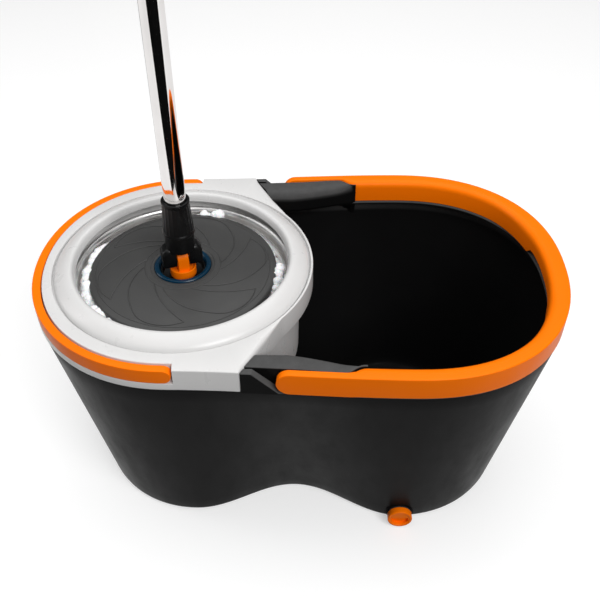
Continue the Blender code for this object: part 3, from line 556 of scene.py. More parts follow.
def make_bucket():
    def shell(bm):
        flange = 0.0135
        levels = [(0.0, 0.0062), (0.0003, 0.0045), (0.0010, 0.0030), (0.0022, 0.0015), (0.0042, 0.0004),
                  (0.0070, 0.0)]
        levels += [(z, 0.0) for z in np.linspace(0.020, TOP_Z - 0.0016, 12)]
        levels += [(TOP_Z - 0.0008, 0.0002), (TOP_Z - 0.0002, 0.0008), (TOP_Z, 0.0016),
                   (TOP_Z, flange - 0.0010), (TOP_Z - 0.0005, flange - 0.0002), (TOP_Z - 0.0015, flange),
                   (TOP_Z - 0.0028, flange - 0.0004)]
        levels += [(z, WALL) for z in (TOP_Z - 0.0050, *np.linspace(0.185, 0.018, 10))]
        levels += [(0.0110, 0.0030), (0.0065, 0.0048), (0.0040, 0.0078), (FLOOR, 0.0120)]
        skin(bm, [[(x, y, z) for x, y in wall_line(z, depth)] for z, depth in levels])

    def floor_rings(bm):
        for r_out, r_in in ((0.0660, 0.0630), (0.0470, 0.0440)):
            ring = [(r_in, -0.0010), (r_out, -0.0010), (r_out - 0.0004, 0.0018), (r_in + 0.0004, 0.0018)]
            lathe(bm, fillet(ring, 0.0007, base=FLOOR), (BASE[3], 0.0), 120)

    def boss(bm):
        along_plug(bm, PLUG.y - 0.0003, -0.0950, 0.0125, rise=0.0010)

    def recess(bm):
        along_plug(bm, -0.1200, PLUG.y, 0.0131, steps=72)

    def holes(bm):
        along_plug(bm, -0.1150, -0.0850, 0.0078)
        pivots(bm, HANDLE_PIVOT, ARM_W, 0.0030, 0.0055, PIVOT_R + GAP)

    bucket = build("bucket", shell)
    steps = []
    for side in (-1, 1):
        steps.append(("UNION", lambda b, s=side: skin(b, shoulder_rings(s))))
        steps.append(("UNION", lambda b, s=side: skin(b, flush_rows(s))))
    steps += [("UNION", floor_rings), ("UNION", boss), ("DIFFERENCE", recess), ("DIFFERENCE", holes)]
    combine(bucket, steps, 30)
    place(bucket, CHARCOAL, "bucket", "bucket_body")


# ---- carrying handle and bail ----
def stations(tip_x, toward, radius):
    """Points of the rim from one tip round the end to the other, with their inward normals and heights."""
    line = [Vector(p) for p in RIM_LINE if (p[0] - tip_x) * toward > radius * 1.04]
    line.sort(key=lambda p: math.atan2(p.y, (p.x - tip_x) * toward))
    ends = []
    count = 14
    for i in range(count + 1):
        offset = radius * (1 - math.cos(math.pi / 2 * (i + 0.25) / (count + 0.25)))
        scale = math.sqrt(max(radius ** 2 - (radius - offset) ** 2, 1e-8)) / radius
        ends.append((tip_x + toward * offset, scale))
    front = [(Vector((x, -half_width(RIM_LINE, x))), scale) for x, scale in ends]
    back = [(Vector((p.x, -p.y)), scale) for p, scale in reversed(front)]
    path = front + [(p, 1.0) for p in line] + back
    out = []
    for i, (p, scale) in enumerate(path):
        along = (path[min(i + 1, len(path) - 1)][0] - path[max(i - 1, 0)][0]).normalized()
        out.append((p, Vector((-along.y, along.x)) * toward, scale))
    return out


def rim_ring(station, section, mid_z):
    """One ring of a bar that follows the rim: its section, given inwards and up, at a station."""
    spot, inward, scale = station
    return [(*(spot + inward * d), mid_z + z * scale) for d, z in fillet(section, steps=6)]


def make_rim_handle():
    half = HANDLE_H / 2
    mid_z = RIM_Z - half
    rib = 0.0018

    def hoop(bm):
        rings = []
        for station in stations(HANDLE_TIP, 1, half):
            spot = station[0]
            width = handle_width(spot.x) + 0.0025 * ease(spot.x, 0.185, 0.2245)
            full = ease(width, ARM_W + 0.0002, ARM_W + 0.0045)
            round_r = 0.0012 + (min(0.0100, width - 0.0030) - 0.0012) * full
            lift = 0.0070 * (1 - ease(abs(spot.y), 0.0385, 0.0475)) if spot.x > 0.15 else 0.0
            low = -half + lift
            roof = (0.0006 - half) + (HANDLE_H - 0.0041) * full
            roof_in = (0.0006 - half) + (HANDLE_H - 0.0021 - round_r) * full
            lean = 0.0004 * full
            section = [(lean, -half, 0.0005), (0.0, half, 0.0013), (width, half, round_r),
                       (width, low, 0.0006), (width - rib, low, 0.0005),
                       (width - rib, max(roof_in, low + 0.0003), 0.0010),
                       (width - rib - 0.35 * (width - 2 * rib), max(roof, low + 0.0003), 0.0010),
                       (rib, max(roof, -half + 0.0003), 0.0008), (rib, -half, 0.0003)]
            rings.append(rim_ring(station, section, mid_z))
        skin(bm, rings)

    def stubs(bm):
        pivots(bm, HANDLE_PIVOT, ARM_W, 0.0030, 0.0045, PIVOT_R)

    handle = combine(build("carry_handle", hoop), [("UNION", stubs)], 34)
    place(handle, ORANGE, "rim_handle", "rim_handle")


def make_bail():
    width, height = BAIL
    half = height / 2
    section = [(0.0002, -half, 0.0011), (0.0, half, 0.0009), (width, half, 0.0012), (width, -half, 0.0011)]

    def hoop(bm):
        skin(bm, [rim_ring(station, section, BAIL_TOP - half) for station in stations(BAIL_TIP, -1, half)])

    def stubs(bm):
        pivots(bm, BAIL_PIVOT, width, 0.0030, 0.0040, PIVOT_R)

    bail = combine(build("wringer_bail", hoop), [("UNION", stubs)], 34)
    place(bail, ORANGE, "front_bail", "front_bail")


# ---- wringer ----
def frame_stations():
    """Directions round the basket axis: (angle, reach, zone, edge radius) of the frame."""
    half = [(math.radians(i * 38.4 / 24), SKIRT_R, "free", 0.0015) for i in range(24)]
    tip_x, tip_y = WING_TIP
    end_y = half_width(RIM_LINE, FRAME_END) - 0.0004
    for i in range(33):
        t = i / 32
        x, y = tip_x + (FRAME_END - SPIN_X - tip_x) * t, tip_y + (end_y - tip_y) * t
        reach = math.hypot(x, y)
        edge = 0.0015 + 0.0032 * ease(reach, RING_R + 0.0032, RING_R + 0.0120) * (1 - ease(t, 0.90, 1.0))
        half.append((math.atan2(y, x), reach, "wing", edge))
    notch = BAIL_TIP + 0.0012
    rim = [(x, "side") for x in np.linspace(FRAME_END - SPIN_X - 0.0015, notch - SPIN_X + 0.0006, 14)]
    rim += [(notch - SPIN_X, "side"), (notch - SPIN_X - 0.0003, "bail")]
    rim += [(x, "bail") for x in np.linspace(notch - SPIN_X - 0.004, -0.016, 6)]
    for x, zone in rim:
        y = half_width(RIM_LINE, SPIN_X + x) - 0.0004
        half.append((math.atan2(y, x), math.hypot(x, y), zone, 0.0012))
    for x, y in RIM_LINE:
        if y >= -1e-6 and x < SPIN_X - 0.018:
            half.append((math.atan2(abs(y), x - SPIN_X), math.hypot(x - SPIN_X, y) - 0.0004, "bail", 0.0012))
    half.sort()
    mirrored = [(-a, reach, zone, edge) for a, reach, zone, edge in half if 1e-6 < a < math.pi - 1e-3]
    return sorted(half + mirrored)


def frame_section(reach, zone, edge):
    """The frame's closed section in one direction as (radius, z): up the outside, then down the basin."""
    seat = RIM_Z - 0.0035
    foot = TOP_Z + GAP
    wide = RING_R + 0.0010
    if zone == "bail":
        back = reach - BAIL[0] - 0.0006
        ledge = BAIL_TOP - BAIL[1] - 0.0004
        inner = max(back - WALL, wide)
        rim = [(reach, foot, 0.0003), (reach, ledge, 0.0006), (back, ledge, 0.0004), (back, RIM_Z, 0.0008)]
        under = [(inner, ledge - WALL), (reach - 0.0012, foot)]
    else:
        inner = max(reach - WALL, wide)
        rim = [(reach, foot, 0.0004), (reach, foot + 0.008, 0.0), (reach, foot + 0.0085, 0.0),
               (reach, RIM_Z, edge)]
        under = [(inner, foot + 0.0020), (inner, foot)]
    rim.append((RING_R + 0.0008, RIM_Z, 0.0005))
    roof = RIM_Z - WALL if inner > wide + 0.001 else seat - 0.0020
    under = [(wide - 0.0012, seat - 0.0028), (wide - 0.0003, seat - 0.0026), (inner, roof)] + under
    basin = [(RING_R + 0.0006, seat), (0.0985, seat, 0.0006), (0.0972, seat - 0.010),
             (0.0955, RIM_Z - 0.0900), (0.0905, RIM_Z - 0.0955), (0.0260, RIM_Z - 0.0965),
             (0.0170, RIM_Z - 0.0930), (0.0064, RIM_Z - 0.0930), (0.0064, RIM_Z - 0.1120),
             (0.0170, RIM_Z - 0.1120), (0.0200, RIM_Z - 0.0995), (0.0920, RIM_Z - 0.0985),
             (0.0980, RIM_Z - 0.0915), (0.0998, seat - 0.010), (0.1012, seat - 0.0028)]
    return fillet(rim + basin + under, 0.0005, 4)


def make_wringer_frame():
    def body(bm):
        skin(bm, [[polar(r, angle, z) for r, z in frame_section(*rest)] for angle, *rest in frame_stations()],
             closed=True)

    def holes(bm):
        pivots(bm, BAIL_PIVOT, BAIL[0], 0.0020, 0.0060, PIVOT_R + GAP)
        for i in range(BASIN_HOLES):
            a = 2 * math.pi * (i + 0.5) / BASIN_HOLES
            cylinder(bm, polar(0.060, a, RIM_Z - 0.110), polar(0.060, a, RIM_Z - 0.090), 0.0090)

    place(combine(build("wringer_top", body), [("DIFFERENCE", holes)], 30), WHITE, "bucket", "wringer_frame")


def swept(bm, section, count):
    """A body round the basket's axis whose section changes with the angle."""
    angles = [2 * math.pi * i / count for i in range(count)]
    skin(bm, [[polar(r, a, z) for r, z in section(a)] for a in angles], closed=True)


def turned(name, profile, material, body, *nodes, centre=(SPIN_X, 0.0), steps=96, smooth=34):
    return place(build(name, lambda b: lathe(b, profile, centre, steps), smooth), material, body, *nodes)


def make_splash_ring():
    z = RIM_Z - 0.0035 + GAP
    over = spline([(RING_R - 0.0006, z + 0.0004), (RING_R - 0.0010, z + 0.0020), (0.1058, z + 0.0044),
                   (0.1028, z + 0.0067), (0.0990, z + 0.0088), (0.0955, z + 0.0100), (0.0931, z + 0.0101),
                   (0.0914, z + 0.0090), (0.0902, z + 0.0066), (LIP_R, z + 0.0036)], 6)
    under = [(LIP_R + 0.0002, z + 0.0029), (0.0908, z + 0.0032), (0.0915, z + 0.0056), (0.0928, z + 0.0079),
             (0.0945, z + 0.0084), (0.0980, z + 0.0072), (0.1030, z + 0.0042), (0.1056, z)]
    turned("guard_ring", [tuple(p) for p in over] + under, WHITE, "bucket", "splash_ring", steps=192)


# ---- basket ----
def make_basket():
    """A pressed steel basket with round punched holes, its rim rolled over into a bead.

    A profile point is (radius, height, whether the strip that starts there is punched).
    """
    around, rows = 112, 12
    wall_low, wall_high = BASKET_FLOOR + 0.0060, BASKET_RIM - 0.0042
    profile = [(0.0260, BASKET_FLOOR, False)]
    profile += [(r, BASKET_FLOOR, k < 9) for k, r in enumerate(np.linspace(0.0340, 0.0770, 10))]
    profile += [(0.0800, BASKET_FLOOR + 0.0008, False), (0.0818, BASKET_FLOOR + 0.0027, False),
                (0.0826, wall_low, False)]
    wall_start = len(profile)
    for k in range(1, rows + 1):
        t = k / rows
        profile.append((0.0826 + 0.0042 * t, wall_low + (wall_high - wall_low) * t, k < rows - 1))
    # a dark channel runs round between the punched wall and the rolled rim
    profile += [(0.0870, wall_high + 0.0006, False), (0.0874, wall_high + 0.0004, False),
                (0.0877, wall_high - 0.0006, False), (0.0880, wall_high - 0.0055, False),
                (0.0888, wall_high - 0.0065, False), (0.0902, wall_high - 0.0060, False),
                (0.0908, wall_high - 0.0040, False)]
    profile += [(BASKET_R - 0.0022 * math.cos(a), BASKET_RIM - 0.0006 + 0.0032 * math.sin(a), False)
                for a in np.radians(np.linspace(-40, 250, 20))]

    def shell(bm):
        grid = [[bm.verts.new(polar(r, 2 * math.pi * i / around, z)) for r, z, _ in profile]
                for i in range(around)]
        for i in range(around):
            here, there = grid[i], grid[(i + 1) % around]
            for j in range(len(profile) - 1):
                corners = [here[j], there[j], there[j + 1], here[j + 1]]
                on_floor = j < wall_start
                if not profile[j][2] or (on_floor and (i + j) % 2):
                    bm.faces.new(corners)
                    continue
                middle = sum((v.co for v in corners), Vector()) / 4
                across, up = (corners[1].co - corners[0].co), (corners[3].co - corners[0].co)
                radius = 0.30 * min(across.length * (1.6 if on_floor else 1.0), up.length)
                a, b = across.normalized(), up.normalized()
                turns = np.radians([-135, -90, -45, 0, 45, 90, 135, 180])
                rim = [bm.verts.new(middle + radius * (math.cos(t) * a + math.sin(t) * b)) for t in turns]
                # each side of the square meets three points of the hole
                for side in range(4):
                    c, d = corners[side], corners[(side + 1) % 4]
                    k = 2 * side
                    bm.faces.new((c, d, rim[(k + 2) % 8], rim[k + 1], rim[k]))

    basket = build("steel_basket", shell, 40)
    sheet = basket.modifiers.new("sheet", "SOLIDIFY")
    sheet.thickness = 0.0009
    sheet.offset = 0.0
    place(basket, STEEL, "basket", "spin_basket")

    hub_top = RIM_Z - 0.0420
    profile = fillet([(0.0, BASKET_FLOOR + 0.0010, 0), (0.0340, BASKET_FLOOR + 0.0010),
                      (0.0340, BASKET_FLOOR + 0.0035), (0.0200, BASKET_FLOOR + 0.0060, 0.004),
                      (0.0130, hub_top, 0.0015), (0.0090, hub_top), (0.0080, hub_top - 0.0120),
                      (0.0, hub_top - 0.0120, 0)], 0.0008)
    turned("drive_hub", profile, BLACK, "basket", "basket_hub")


# ---- mop head ----
def plate_height(r):
    """Height of the mop plate's upper face at a distance from its axis."""
    radii = [0.0, HUB_R + GAP, 0.0300, 0.0450, 0.0620, 0.0740, 0.0790, PLATE_R]
    heights = [HUB_Z - 0.0006, HUB_Z - 0.0008, HUB_Z - 0.0008, HUB_Z - 0.0016,
               PLATE_Z + 0.0020, PLATE_Z + 0.0006, PLATE_Z - 0.0004, PLATE_Z - 0.0012]
    return float(np.interp(r, radii, heights))


def on_plate(r, degrees, lift):
    return polar(r, math.radians(degrees), plate_height(r) + lift)


def make_mop_plate():
    """A shallow dished disc with thin raised lines: six swept petals and rings round the hub."""
    def disc(bm):
        over = [(HUB_R + GAP, HUB_Z - 0.0012)]
        over += [(r, plate_height(r)) for r in np.linspace(HUB_R + 0.0008, 0.0785, 26)]
        over += [(0.0793, PLATE_Z - 0.0007), (0.0798, PLATE_Z - 0.0012), (PLATE_R, PLATE_Z - 0.0019)]
        under = [(PLATE_R, PLATE_Z - 0.0056), (0.0797, PLATE_Z - 0.0060), (PLATE_R - 0.0020, PLATE_Z - 0.0060),
                 (PLATE_R - 0.0024, PLATE_Z - 0.0030), (0.062, PLATE_Z - 0.0010), (0.045, HUB_Z - 0.0046),
                 (0.032, HUB_Z - 0.0065), (HUB_R + GAP, HUB_Z - 0.0065)]
        lathe(bm, over + under, steps=160)
        outer = [(0.0330, 0), (0.0425, 16), (0.0520, 30), (0.0625, 46.5), (0.0700, 58), (0.0725, 68),
                 (0.0722, 79), (0.0690, 90)]
        inner = [(0.0690, 90), (0.0600, 82), (0.0500, 71), (0.0400, 57), (0.0320, 42)]
        for k in range(PETALS):
            for line in (outer, inner):
                path = spline([(r, angle + 360 / PETALS * k + 187) for r, angle in line], 7)
                tube(bm, [on_plate(r, angle, 0.00012) for r, angle in path], 0.00052, 6)
        for radius, width in ((0.0272, 0.00040), (0.0322, 0.00045), (0.0742, 0.00035)):
            z = plate_height(radius)
            lathe(bm, [(radius + width * math.cos(t), z + width * math.sin(t))
                       for t in np.radians(np.arange(0, 360, 45))], steps=160)

    place(build("mop_disc", disc, 40), PLATE, "mop_head", "mop_plate")


def make_refill():
    """The white clip ring with its looped chenille strands folded down into the basket."""
    z = PLATE_Z
    clip = [(0.0500, -0.0090), (0.0765, -0.0090), (0.0765, -0.0060), (0.0600, -0.0050), (0.0500, -0.0062)]
    turned("strand_ring", fillet(clip, 0.0008, base=z), WHITE, "mop_head", "refill_ring", steps=120)
    # where the strands bulge up past the plate's edge: direction, spread and height above the low ones
    bulges = [(178, 32, 1.0), (222, 11, 0.95), (258, 9, 1.0), (354, 16, 1.15), (78, 10, 1.25)]

    def rise(degrees):
        best = 0.0
        for where, spread, height in bulges:
            away = (degrees - where + 180) % 360 - 180
            best = max(best, height * math.exp(-(away / spread) ** 4))
        return best

    def strands(bm):
        for k in range(STRANDS):
            degrees = 360 * (k + rng.uniform(-0.4, 0.4)) / STRANDS
            up = rise(degrees) * rng.uniform(0.80, 1.0)
            top = z - 0.0150 + 0.0125 * up
            bulge = 0.0830 - 0.0006 * up + rng.uniform(-0.0004, 0.0004)
            bottom = z - rng.uniform(0.049, 0.0555)
            path = [(0.0700, degrees, z - 0.0120), (0.0765, degrees, z - 0.0135),
                    (0.0812, degrees, top - 0.0025), (bulge, degrees + rng.uniform(-2, 2), top),
                    (0.0838, degrees + rng.uniform(-3, 3), top - 0.0070), (0.0815, degrees, z - 0.0260),
                    (0.0785, degrees + rng.uniform(-5, 5), z - 0.0350),
                    (0.0750, degrees + rng.uniform(-6, 6), z - 0.0440),
                    (0.0700, degrees + rng.uniform(-7, 7), bottom + 0.004),
                    (0.0600, degrees + rng.uniform(-8, 8), bottom),
                    (0.0500, degrees + rng.uniform(-9, 9), bottom + 0.003),
                    (0.0430, degrees + rng.uniform(-10, 10), bottom + rng.uniform(0.008, 0.020))]
            points = np.array([polar(r, math.radians(a), h) for r, a, h in spline(path, 8)])
            # chenille: the pile swells into nodules along the yarn
            run = np.concatenate([[0.0], np.cumsum(np.linalg.norm(np.diff(points, axis=0), axis=1))])
            phase = rng.uniform(0, 6)
            swell = np.abs(np.sin(math.pi * run / 0.0090 + phase)) ** 0.5
            radii = 0.0023 + 0.0004 * up + (0.0010 + 0.0013 * up) * swell
            radii[0] = radii[-1] = 0.0009
            tube(bm, points, radii, 10)

    place(build("chenille_strands", strands, 80), FIBRE, "mop_head", "microfibre")


def pin_frame():
    """Axes at the yoke pin: X along the pin, Z up."""
    return Matrix.Translation((SPIN_X, 0.0, PIN_Z)) @ Matrix.Rotation(PIN_TURN, 4, "Z")


def along_pin(bm, reach, radius):
    here = pin_frame()
    cylinder(bm, here @ Vector((-reach, 0, 0)), here @ Vector((reach, 0, 0)), radius)


def pin_bore(bm):
    along_pin(bm, 0.02, PIN_R + GAP)


def make_hub():
    trim = [(0.0192, -0.0065), (HUB_R, -0.0065), (HUB_R, -0.0006, 0.0006), (0.0232, 0.0003, 0.0008),
            (0.0205, 0.0, 0.0010), (0.0192, -0.0022, 0.0010)]
    turned("hub_trim", fillet(trim, 0.0004, 5, HUB_Z), BLUE, "mop_head", "hub_bezel", steps=144)
    cup = [(0.0, -0.0390, 0), (0.0070, -0.0390), (0.0076, -0.0150, 0.002), (0.0300, -0.0125),
           (0.0300, -0.0068), (0.0189, -0.0068), (0.0189, -0.0030), (0.0176, -0.0030),
           (0.0172, -0.0092, 0.0010), (0.0, -0.0092, 0)]
    turned("hub_cup", fillet(cup, 0.0005, base=HUB_Z), BLACK, "mop_head", "head_hub", steps=120)
    here = pin_frame()

    def base(bm):
        puck = [(0.0, -0.0089, 0), (0.0112, -0.0089), (0.0112, -0.0012, 0.0007), (0.0100, -0.0012, 0.0006),
                (0.0094, -0.0026, 0.0010), (0.0, -0.0026, 0)]
        lathe(bm, fillet(puck, 0.0004, 5, HUB_Z), steps=96)

    def tongue(bm):
        rings = []
        for x in (-0.00465, -0.0043, 0.0043, 0.00465):
            r = 0.0074 - (0.00035 if abs(x) > 0.0045 else 0.0)
            arch = [(r * math.cos(t), r * math.sin(t)) for t in np.radians(range(0, 181, 9))]
            arch += [(-r, HUB_Z - 0.0060 - PIN_Z), (r, HUB_Z - 0.0060 - PIN_Z)]
            rings.append([here @ Vector((x, y, z)) for y, z in arch])
        skin(bm, rings)

    place(combine(build("hub_tongue", base), [("UNION", tongue), ("DIFFERENCE", pin_bore)]), ORANGE,
          "mop_head", "knuckle")
    pin = build("joint_pin", lambda b: along_pin(b, 0.0168, PIN_R))
    place(soften(pin, 0.0004), CHROME, "mop_head", "yoke_pin")


# ---- mop handle ----
def make_yoke():
    """The black fork over the tongue: two bulky ears with rounded shoulders under a round neck."""
    here = pin_frame()
    low = PIN_Z + 0.0105

    def neck(bm):
        lathe(bm, fillet([(0.0, low, 0), (0.0122, low, 0.0012), (0.0122, COLLAR[0] - GAP, 0.0006),
                          (0.0, COLLAR[0] - GAP, 0)], 0.0004), steps=96)

    def ear(side):
        def make(bm):
            rings = []
            for x, edge in ((0.0053, 0.0006), (0.0056, 0.0001), (0.0060, 0.0), (0.0120, 0.0),
                            (0.0145, 0.0001), (0.0158, 0.0004), (0.0165, 0.0009), (0.0169, 0.0015),
                            (0.0170, 0.0021)):
                wide = 0.0075 - edge
                low = -0.0045 + 0.5 * edge
                top = 0.0138 - edge - 0.6 * max(0.0, x - 0.0125)
                face = [(-wide, low, 0.0016), (wide, low, 0.0016), (wide, top, 0.0040), (-wide, top, 0.0040)]
                rings.append([here @ Vector((side * x, y, z)) for y, z in fillet(face, steps=6)])
            skin(bm, rings)
        return make

    steps = [("UNION", ear(-1)), ("UNION", ear(1)), ("DIFFERENCE", pin_bore)]
    yoke = combine(build("pole_fork", neck), steps, 40)
    place(soften(yoke, 0.0005, 2, 45), BLACK, "lower_shaft", "yoke")


def make_socket():
    """The tapered collar: ribs down its sides, and a rounded lip at each end."""
    low, high = COLLAR

    def section(angle):
        rib = 0.00022 * max(0.0, math.cos(COLLAR_RIBS * angle)) ** 0.6
        return fillet([(TUBE_R + GAP, low, 0.0003), (0.0132, low, 0.0005), (0.0137, low + 0.0009, 0.0006),
                       (0.0131, low + 0.0020, 0.0004), (0.0126, low + 0.0028, 0.0004),
                       (0.0125 + rib, low + 0.0036, 0.0006), (0.0110 + rib, high - 0.0042, 0.0008),
                       (0.0108, high - 0.0034, 0.0004), (0.0117, high - 0.0024, 0.0007),
                       (0.0116, high - 0.0003, 0.0008), (TUBE_R + GAP, high, 0.0006)], 0.0004, 3)

    place(build("pole_collar", lambda b: swept(b, section, 264), 40), BLACK, "lower_shaft", "socket_collar")


def make_lower_tube():
    bore = TUBE_R - 0.0011
    out = Vector((math.cos(BUTTON_TURN), math.sin(BUTTON_TURN), 0.0))
    centre = Vector((SPIN_X, 0.0, BUTTON_Z))

    def tube_wall(bm):
        profile = [(bore, TUBE_BOTTOM), (TUBE_R, TUBE_BOTTOM)]
        profile += [(TUBE_R, z) for z in np.linspace(TUBE_BOTTOM + 0.020, TUBE_TOP - 0.020, 8)]
        profile += [(TUBE_R, TUBE_TOP - 0.0004), (TUBE_R - 0.0003, TUBE_TOP), (bore + 0.0002, TUBE_TOP)]
        profile += [(bore, z) for z in np.linspace(TUBE_TOP - 0.020, TUBE_BOTTOM + 0.020, 8)]
        lathe(bm, profile, steps=96)

    def hole(bm):
        cylinder(bm, centre + out * 0.004, centre + out * 0.012, 0.0026)

    tube_obj = combine(build("chrome_tube", tube_wall), [("DIFFERENCE", hole)], 50)
    place(tube_obj, CHROME, "lower_shaft", "lower_tube")

    def button(bm):
        lathe(bm, [(0.0, 0.0), (0.0023, 0.0), (0.0023, 0.0030), (0.00215, 0.0034), (0.0017, 0.0037),
                   (0.0009, 0.0039), (0.0, 0.00395)], (0, 0), 48)
        turn = out.to_track_quat("Z", "Y").to_matrix().to_4x4()
        bm.transform(Matrix.Translation(centre + out * 0.0060) @ turn)

    place(build("spring_button", button), CHROME, "snap_button", "snap_button")


def twist_at(z):
    return -2 * math.pi * (z - TUBE_TOP) / TWIST_PITCH


def make_upper_handle():
    bore = UPPER_R - 0.0011
    low, high = UPPER_BOTTOM, UPPER_TOP
    wall = [(bore, low + 0.010), (UPPER_R, low + 0.010), (UPPER_R, high), (bore, high)]
    turned("outer_tube", fillet(wall, 0.0003), CHROME, "upper_handle", "upper_tube", smooth=50)
    inner = TUBE_R + 0.0012
    lock = [(inner, 0.0, 0.0004), (0.0134, 0.0, 0.0006), (0.0140, 0.0010, 0.0006), (0.0140, 0.0030, 0.0003),
            (0.0136, 0.0034, 0.0003), (0.0136, 0.0040, 0.0003), (0.0140, 0.0044, 0.0003),
            (0.0140, 0.0090, 0.0006), (0.0118, 0.0094), (0.0118, 0.0395, 0.0008), (UPPER_R + GAP, 0.0395),
            (UPPER_R + GAP, 0.0097), (inner, 0.0097)]
    turned("lock_base", fillet(lock, 0.0002, base=low), BLACK, "upper_handle", "lock_body")

    def twisted(bm):
        z_low, z_high = RIM_Z + 0.3000, RIM_Z + 0.7400
        rings = []
        for i in range(241):
            z = z_low + (z_high - z_low) * i / 240
            a = twist_at(z)
            strip = [(-0.0030, -0.0011), (0.0030, -0.0011), (0.0030, 0.0011), (-0.0030, 0.0011)]
            rings.append([(SPIN_X + x * math.cos(a) - y * math.sin(a), x * math.sin(a) + y * math.cos(a), z)
                          for x, y in fillet(strip, 0.0004, 2)])
        skin(bm, rings)

    place(build("twisted_strip", twisted), STEEL, "upper_handle", "drive_rod")

    grip_low, grip_high = high - 0.1250, high - 0.0050
    outside = []
    for i in range(61):
        t = i / 60
        z = grip_low + 0.0020 + (grip_high - grip_low - 0.0035) * t
        wave = 0.5 - 0.5 * math.cos(2 * math.pi * GRIP_WAVES * t)
        outside.append((0.0150 - 0.00045 * wave * ease(t, 0.0, 0.08) * (1 - ease(t, 0.92, 1.0)), z))
    profile = [(UPPER_R + GAP, grip_low), (0.0138, grip_low), (0.0146, grip_low + 0.0006)] + outside
    profile += [(0.0146, grip_high - 0.0005), (0.0140, grip_high), (UPPER_R + GAP, grip_high)]
    turned("foam_grip", profile, RUBBER, "upper_handle", "grip")

    eye_z = high + 0.0200

    def cap(bm):
        lid = [(0.0, -0.0080, 0), (bore - GAP, -0.0080), (bore - GAP, GAP), (0.0145, GAP, 0.0005),
               (0.0145, 0.0060, 0.0022), (0.0110, 0.0102, 0.0020), (0.0, 0.0110, 0)]
        lathe(bm, fillet(lid, 0.0003, 5, high), steps=96)

    def eye(bm):
        rings = []
        for y, edge in ((-0.0030, 0.0012), (-0.0027, 0.0005), (-0.0020, 0.0), (0.0020, 0.0), (0.0027, 0.0005),
                        (0.0030, 0.0012)):
            r = 0.0115 - edge
            rings.append([(SPIN_X + r * math.cos(t), y, eye_z + r * math.sin(t))
                          for t in np.radians(range(0, 360, 5))])
        skin(bm, rings)

    def eye_hole(bm):
        cylinder(bm, (SPIN_X, -0.010, eye_z + 0.001), (SPIN_X, 0.010, eye_z + 0.001), 0.0065, steps=64)

    cap_obj = combine(build("hang_cap", cap), [("UNION", eye), ("DIFFERENCE", eye_hole)], 40)
    place(soften(cap_obj, 0.0006, 3, 50), ORANGE, "upper_handle", "end_cap")

    def sleeve(angle):
        from_flute = abs((angle / 2 / math.pi * SLEEVE_FLUTES + 0.5) % 1 - 0.5)
        away = from_flute / SLEEVE_FLUTES * 2 * math.pi * 0.0148
        r = 0.0148 - 0.0011 * math.sqrt(max(0.0, 1 - (away / 0.0017) ** 2))
        return fillet([(0.0121, 0.0, 0.0002), (0.0142, 0.0, 0.0003), (0.0148, 0.0012, 0.0006),
                       (0.0148, 0.0035, 0.0004), (r, 0.0048, 0.0006), (r, 0.0210, 0.0006),
                       (0.0148, 0.0223, 0.0004), (0.0148, 0.0250, 0.0010), (0.0135, 0.0295, 0.0008),
                       (0.0121, 0.0295, 0.0003)], 0.0003, 3, low + 0.0097)

    place(build("twist_lock", lambda b: swept(b, sleeve, 240), 40), ORANGE, "lock_sleeve", "lock_sleeve")


# ---- drain ----
def make_drain():
    """Push-in plug with a raised rim and a half-round finger hollow, and its sealing ring."""
    face = PLUG.y - 0.0022
    turn = Matrix.Translation((PLUG.x, 0.0, PLUG.z)) @ Matrix.Rotation(math.pi / 2, 4, "X")

    def head(bm):
        button = [(0.0, 0.0, 0), (0.0112, 0.0, 0.0005), (0.0112, 0.0060, 0.0012), (0.0092, 0.0060, 0.0008),
                  (0.0088, 0.0052, 0.0004), (0.0, 0.0050, 0)]
        lathe(bm, fillet(button, 0.0004, 5, -face), (0, 0), 96)
        bm.transform(turn)

    def stem(bm):
        along_plug(bm, face - 0.001, -0.0915, 0.0070, 0.0064)

    def hollow(bm):
        bowl = [(0.0080 * math.cos(t), 0.0080 * math.sin(t) - 0.0004) for t in np.radians(range(180, 361, 6))]
        bowl += [(0.0076, 0.0010), (-0.0076, 0.0010)]
        skin(bm, [[(PLUG.x + x, y, PLUG.z + z) for x, z in bowl] for y in (face - 0.0080, face - 0.0022)])

    plug = combine(build("drain_stopper", head), [("UNION", stem), ("DIFFERENCE", hollow)], 40)
    place(soften(plug, 0.0004, 2, 50), ORANGE, "drain_plug", "drain_plug")

    def seal(bm):
        ring = [(0.0073, 0.0), (0.0106, 0.0), (0.0106, 0.0016), (0.0073, 0.0016)]
        lathe(bm, fillet(ring, 0.0005), (0, 0), 72)
        bm.transform(Matrix.Translation((0.0, PLUG.y - 0.0003, 0.0)) @ turn)

    place(build("stopper_seal", seal), RUBBER, "drain_plug", "drain_seal")


for make_part in (make_bucket, make_rim_handle, make_bail, make_wringer_frame, make_splash_ring, make_basket,
                  make_mop_plate, make_refill, make_hub, make_yoke, make_socket, make_lower_tube,
                  make_upper_handle, make_drain):
    make_part()

# inner parts whose CAD shape is right: they only take a finished material
for names, material in ((("basket_axle", "axle_washer", "axle_nut"), STEEL),
                        (("axle_bush", "rod_anchor", "slide_bush", "drive_nut"), NYLON)):
    for name in names:
        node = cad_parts[name]
        for part_slot in node.material_slots:
            part_slot.material = material


# ---- floor, light and camera ----
def stage_piece(name, fill, mat):
    """An object that belongs to the studio and lights nothing itself."""
    bm = bmesh.new()
    fill(bm)
    mesh = bpy.data.meshes.new(name)
    bm.to_mesh(mesh)
    bm.free()
    mesh.materials.append(mat)
    obj = bpy.data.objects.new(name, mesh)
    bpy.context.scene.collection.objects.link(obj)
    obj.visible_diffuse = False
    return obj


